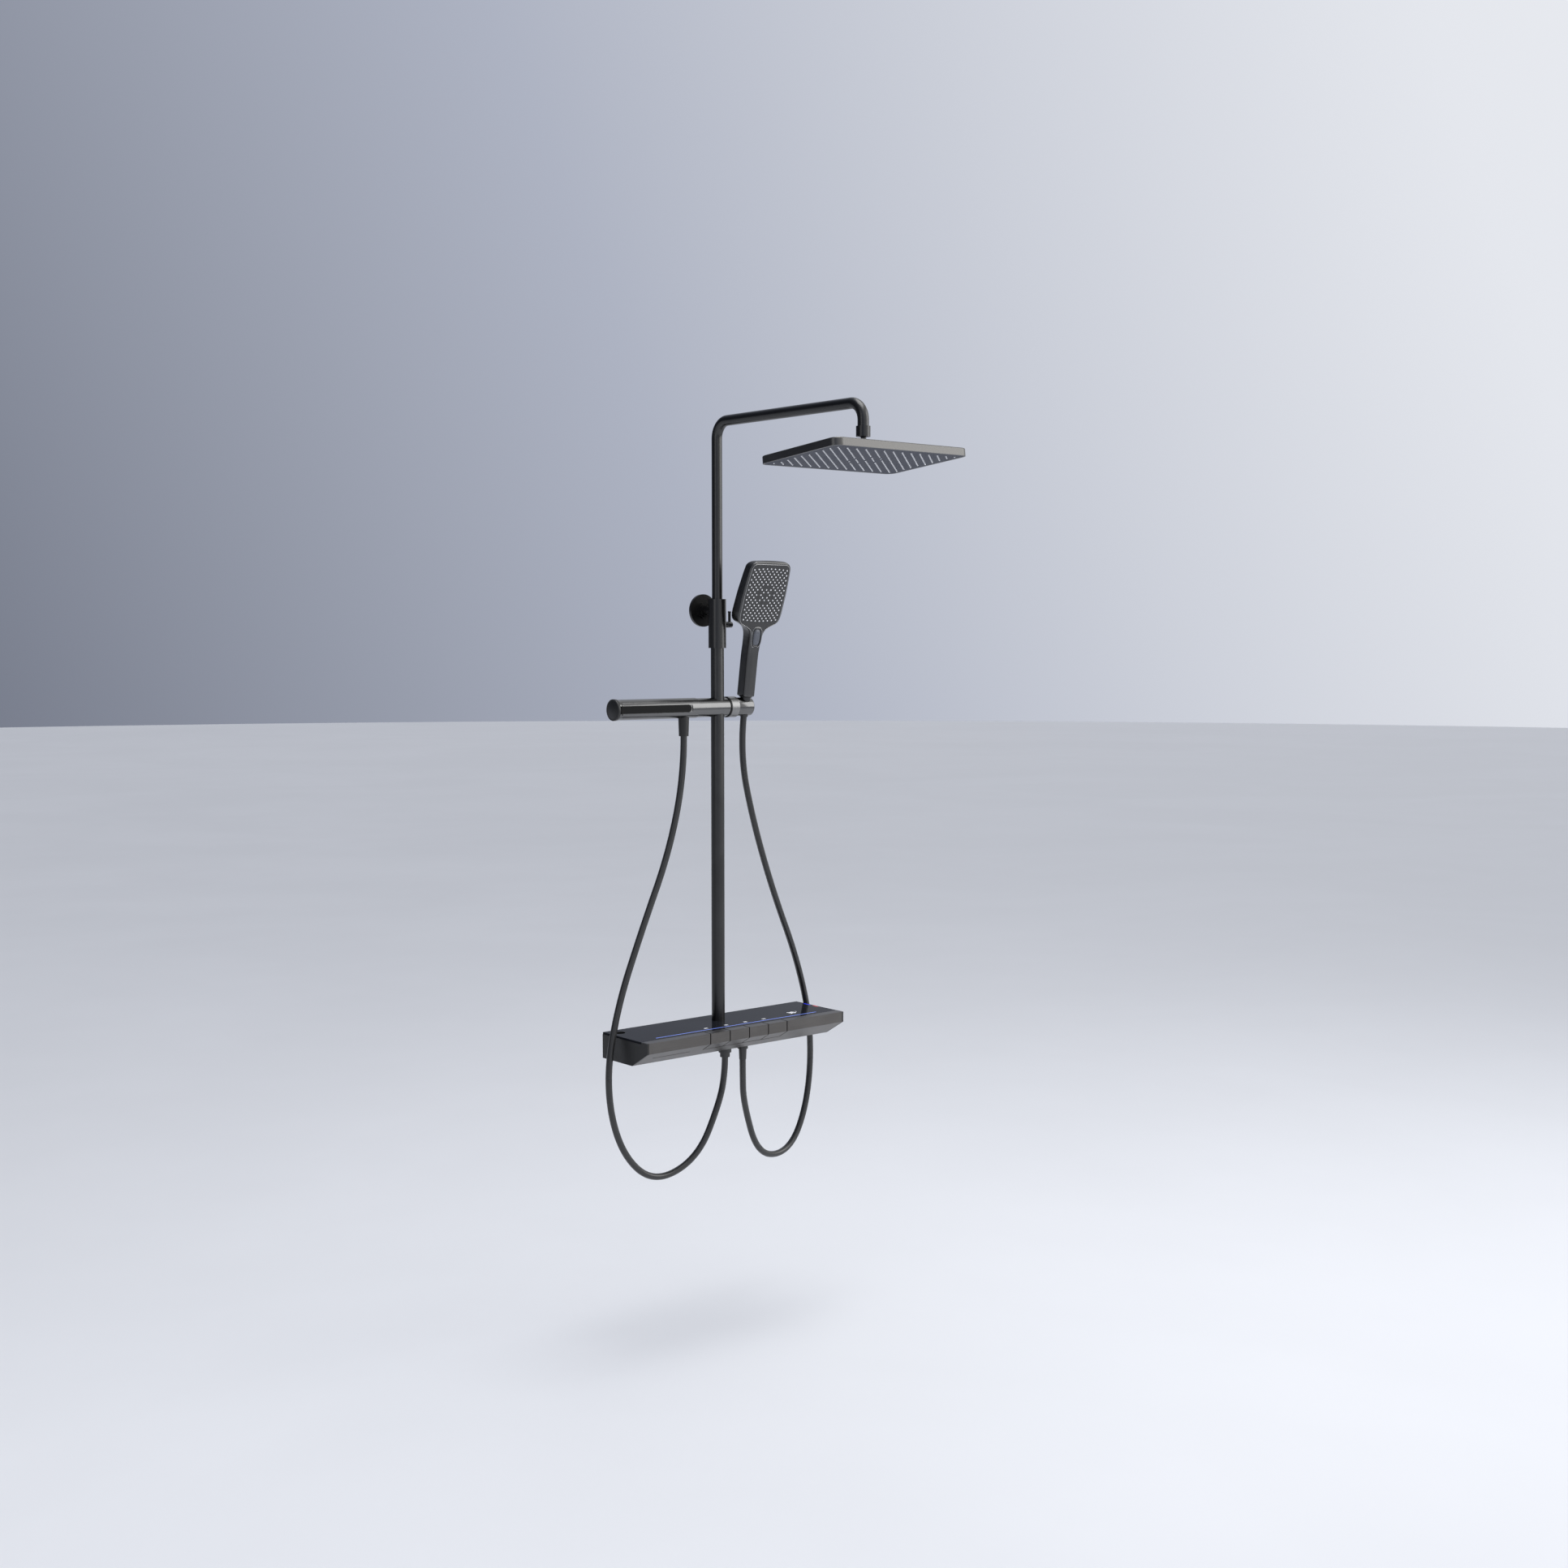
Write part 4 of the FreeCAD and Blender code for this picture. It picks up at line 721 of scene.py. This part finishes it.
# %% [markdown]
# ## Marks on the glass
# The glass carries thin printed marks: four simple key signs, a temperature in seven-segment digits, and a
# blue and a red tick near the hot and cold end. Each mark is a flat strip about a tenth of a millimetre
# thick, worked out as a thin box, so nothing needs an image.

# %% Strips on the glass
GLASS_TOP = float(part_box("glass_top")[1].z)
LIFT, THICK = 0.00002, 0.00012   # the gap under a mark, and its height


def strip_boxes(name, strips, material):
    """Closed flat boxes from (x, y, half-length, half-width, turn) in metres and radians."""
    s = np.asarray(strips, float)
    square = [(-1, -1), (1, -1), (1, 1), (-1, 1)]
    corner = np.array([(*xy, z) for z in (0, 1) for xy in square])
    c, n = np.cos(s[:, 4])[:, None], np.sin(s[:, 4])[:, None]
    u, w = corner[None, :, 0] * s[:, 2:3], corner[None, :, 1] * s[:, 3:4]
    points = np.stack([s[:, 0:1] + c * u - n * w, s[:, 1:2] + n * u + c * w,
                       GLASS_TOP + LIFT + THICK * corner[None, :, 2] + 0 * u], axis=-1).reshape(-1, 3)
    quads = np.array([[3, 2, 1, 0], [4, 5, 6, 7], [0, 1, 5, 4], [1, 2, 6, 5], [2, 3, 7, 6], [3, 0, 4, 7]])
    faces = (quads[None] + 8 * np.arange(len(s))[:, None, None]).reshape(-1, 4).tolist()
    piece = mesh_piece(name, points, faces, material, smooth=False)
    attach(piece, "column")
    return piece


SEGMENTS = {"a": (0, 1, 0), "b": (0.5, 0.5, 1), "c": (0.5, -0.5, 1), "d": (0, -1, 0), "e": (-0.5, -0.5, 1),
            "f": (-0.5, 0.5, 1), "g": (0, 0, 0)}
DIGITS = {"3": "abgcd", "8": "abcdefg"}


def digit_strips(text, x, y, height=0.012):
    """Seven-segment digits, left to right from (x, y)."""
    out = []
    for place, char in enumerate(text):
        for key in DIGITS[char]:
            dx, dy, up = SEGMENTS[key]
            out.append((x + place * height * 0.78 + dx * height * 0.5, y + dy * height * 0.5,
                        height * 0.21, height * 0.08, math.pi / 2 * up))
    return out


def sign_strips():
    """Four key signs, one behind each key and all alike: a short bar with three rays below it."""
    out = []
    for x in (-0.073, -0.022, 0.027, 0.075):
        out.append((x, -0.1015, 0.0042, 0.0008, 0.0))
        out += [(x + 0.0028 * k, -0.1048, 0.0016, 0.0005, math.pi / 2 + 0.25 * k) for k in (-1, 0, 1)]
    return out


# These printed marks carry a painted glow from the emission of their finishes.
marks = strip_boxes("glass_signs", sign_strips() + digit_strips("38", 0.155, -0.090), WHITE_MARK_PAINTED_GLOW)
degree = strip_boxes("degree_marks", digit_strips("3", 0.1745, -0.0865, 0.004), WHITE_MARK_PAINTED_GLOW)
cold = strip_boxes("cold_tick", [(0.2455, -0.040, 0.0018, 0.010, 0.0)], BLUE_MARK_PAINTED_GLOW)
hot = strip_boxes("hot_tick", [(0.2455, -0.0675, 0.0018, 0.008, 0.0)], RED_MARK_PAINTED_GLOW)
print("marks on the glass at", GLASS_TOP)

# %% [markdown]
# ## Turned pieces
# The end of the barrel, the gun's end cap, the temperature knob and the lock are turned parts whose edges
# catch the light, so they are turned again here with rounded edges, flutes and grooves.

# %% Barrel, end cap, knob and lock
RIGHT = (1, 0, 0)
BAR_Y, BAR_Z = -0.05, 0.657         # the axis of the holder bar
KNOB_Y, KNOB_Z = -0.072, 0.0        # the axis of the temperature knob
LOCK_Y, LOCK_Z = -0.05, 0.8215      # the axis of the lock

barrel_profile = [(0, 0.0002), (0, 0.0181), (0.0002, 0.0185), (0.0006, 0.0187), (0.0378, 0.0187), (0.0387, 0.01852),
                  (0.0393, 0.0180), (0.0395, 0.0172), (0.0395, 0.0002)]
barrel_piece = turned("barrel_shell", barrel_profile, (0.0415, BAR_Y, BAR_Z), RIGHT, GUNMETAL_GLOSS, 96)
seat_profile = [(0, 0.0002), (0, 0.0092), (0.0118, 0.0092), (0.0124, 0.0088), (0.0124, 0.0002)]
seat_piece = turned("barrel_collar", seat_profile, HAND_BASE + 0.0073 * HAND_UP, HAND_UP, GUNMETAL_GLOSS, 64)
for piece in (barrel_piece, seat_piece):
    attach(piece, "barrel")
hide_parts("swivel_barrel")

x_cap = float(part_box("gun_nozzle_cap")[0].x)
cap_profile = [(0, 0.0002), (0, 0.0166), (0.0003, 0.0171), (0.0003, 0.0186), (0.0, 0.0190), (0.0, 0.0202),
               (0.0005, 0.0207), (0.0012, 0.0209), (0.0046, 0.0209), (0.0052, 0.0206), (0.0052, 0.0002)]
end_cap_piece = turned("gun_end_cap", cap_profile, (x_cap, BAR_Y, BAR_Z), RIGHT, BLACK_PLASTIC, 96)
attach(end_cap_piece, "spray_gun")
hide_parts("gun_nozzle_cap")

FLUTE_START, FLUTE_END, FLUTE_FADE, FLUTE_COUNT = 0.0045, 0.0205, 0.002, 36
x_knob = float(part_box("temperature_knob")[0].x)
knob_profile = [(0, 0.0002), (0, 0.0150), (0.0006, 0.0156), (0.0030, 0.0157), (0.0036, 0.0152), (0.0042, 0.0157),
                (0.0055, 0.0157), (0.0075, 0.0157), (0.018, 0.0157), (0.0198, 0.0157), (0.0208, 0.0157),
                (0.0219, 0.0151), (0.0225, 0.0140), (0.0225, 0.0002)]


def flutes(angle, along):
    """Shallow flutes round the grip, fading out at both ends."""
    window = np.clip((along - FLUTE_START) / FLUTE_FADE, 0, 1) * np.clip((FLUTE_END - along) / FLUTE_FADE, 0, 1)
    return 0.00028 * window * np.cos(FLUTE_COUNT * angle)


knob_piece = turned("temperature_grip", knob_profile, (x_knob, KNOB_Y, KNOB_Z), RIGHT, CAP_METAL, 288,
                    ripple=flutes)
pointer_profile = [(0, 0.0002), (0, 0.0007), (0.0003, 0.001), (0.0117, 0.001), (0.012, 0.0007), (0.012, 0.0002)]
# The pointer is a printed line, and its emission is a painted glow.
pointer = turned("temperature_pointer", pointer_profile, (0.258, KNOB_Y, 0.0164), RIGHT, WHITE_MARK_PAINTED_GLOW, 16)
for piece in (knob_piece, pointer):
    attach(piece, "temperature_body")
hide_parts("temperature_knob")

lock_profile = [(0, 0.0002), (0, 0.0054), (0.0006, 0.0060), (0.004, 0.0062), (0.0048, 0.0056), (0.0062, 0.0056),
                (0.0070, 0.0062), (0.0168, 0.0062), (0.0178, 0.0057), (0.0184, 0.0048), (0.0184, 0.0002)]
lock_piece = turned("lock_grip", lock_profile, (0.01805, LOCK_Y, LOCK_Z), RIGHT, GLOSS_BLACK, 40)
bar_profile = [(0, 0.0002), (0, 0.0028), (0.0235, 0.0028), (0.0242, 0.0034), (0.0262, 0.0034), (0.027, 0.0027),
               (0.027, 0.0002)]
bar_piece = turned("lock_bar", bar_profile, (0.031, LOCK_Y, LOCK_Z), (0, 0, 1), GLOSS_BLACK, 32)
shank_profile = [(0, 0.0002), (0, 0.0029), (0.0075, 0.0029), (0.0075, 0.0002)]
shank_piece = turned("lock_shank", shank_profile, (0.0109, LOCK_Y, LOCK_Z), RIGHT, STEEL, 24)
for piece in (lock_piece, bar_piece, shank_piece):
    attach(piece, "lock_body")
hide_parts("lock_knob")
print("turned pieces ready")

# %% [markdown]
# ## Floor and light
# A plain pale floor lies well below the hoses. One broad light stands at the front right, a weaker one
# at the left and one lies overhead. The world grows from dark at the back left to pale at the front right, so
# that dark metal shows long soft bands.

# %% Studio
FLOOR_Z, FLOOR_RADIUS = -0.62, 30.0


def studio_floor():
    """A disc of rings: radius grows outwards, height stays level."""
    radius = np.concatenate([[0.0001], np.linspace(1, FLOOR_RADIUS, 12)])
    angle = np.linspace(0, 2 * np.pi, 96, endpoint=False)
    grid = np.stack([radius[:, None] * np.cos(angle), radius[:, None] * np.sin(angle),
                     0 * radius[:, None] * angle + FLOOR_Z], axis=-1)
    material = finish("studio_floor", grey(0.82, 0.04), grey(0.86, 0.04), (0.6, 0.7), grain=3, bump=0.0,
                      smear_size=0.4)
    return skin("studio_floor", grid, material, caps=False)


studio_floor()
BRIGHT_SIDE = (0.75, -0.55, 0.36)
world = bpy.data.worlds.new("studio_world")
bpy.context.scene.world = world
world.use_nodes = True
air = world.node_tree
glow = add(air, "ShaderNodeVectorMath", operation="DOT_PRODUCT")
glow.inputs[1].default_value = BRIGHT_SIDE
wire(air, add(air, "ShaderNodeTexCoord").outputs["Generated"], glow.inputs[0])
spread = add(air, "ShaderNodeMapRange", From_Min=-1.0, From_Max=1.0)
wire(air, glow.outputs["Value"], spread.inputs["Value"])
ramp = add(air, "ShaderNodeValToRGB")
for place, tone in ((0.30, (0.13, 0.145, 0.19)), (0.52, (0.42, 0.45, 0.54)), (0.72, (0.78, 0.80, 0.85))):
    ramp.color_ramp.elements.new(place).color = (*tone, 1.0)
ramp.color_ramp.elements[0].color = (0.045, 0.05, 0.07, 1.0)
ramp.color_ramp.elements[-1].color = (1.0, 1.0, 1.0, 1.0)
wire(air, spread.outputs["Result"], ramp.inputs["Fac"])
wire(air, ramp.outputs["Color"], air.nodes["Background"].inputs["Color"])
air.nodes["Background"].inputs["Strength"].default_value = 1.0


def area_light(name, where, towards, size, power, tint=(1.0, 1.0, 1.0)):
    """A soft square light that faces a point."""
    data = bpy.data.lights.new(name, "AREA")
    data.shape = "RECTANGLE"
    data.size, data.size_y = size
    data.energy = power
    data.color = tint
    lamp = bpy.data.objects.new(name, data)
    lamp.location = where
    lamp.rotation_euler = (Vector(towards) - Vector(where)).to_track_quat("-Z", "Y").to_euler()
    bpy.context.scene.collection.objects.link(lamp)
    return lamp


area_light("key_light", (2.8, -2.6, 2.0), (0, -0.1, 0.5), (2.4, 3.0), 55)
area_light("side_light", (-2.6, -0.9, 1.4), (0, -0.1, 0.5), (1.0, 2.2), 6)
area_light("top_light", (0.2, -0.6, 3.2), (0, -0.2, 0.4), (2.0, 1.6), 42)
bpy.context.scene.view_settings.view_transform = "Standard"
print("studio ready")
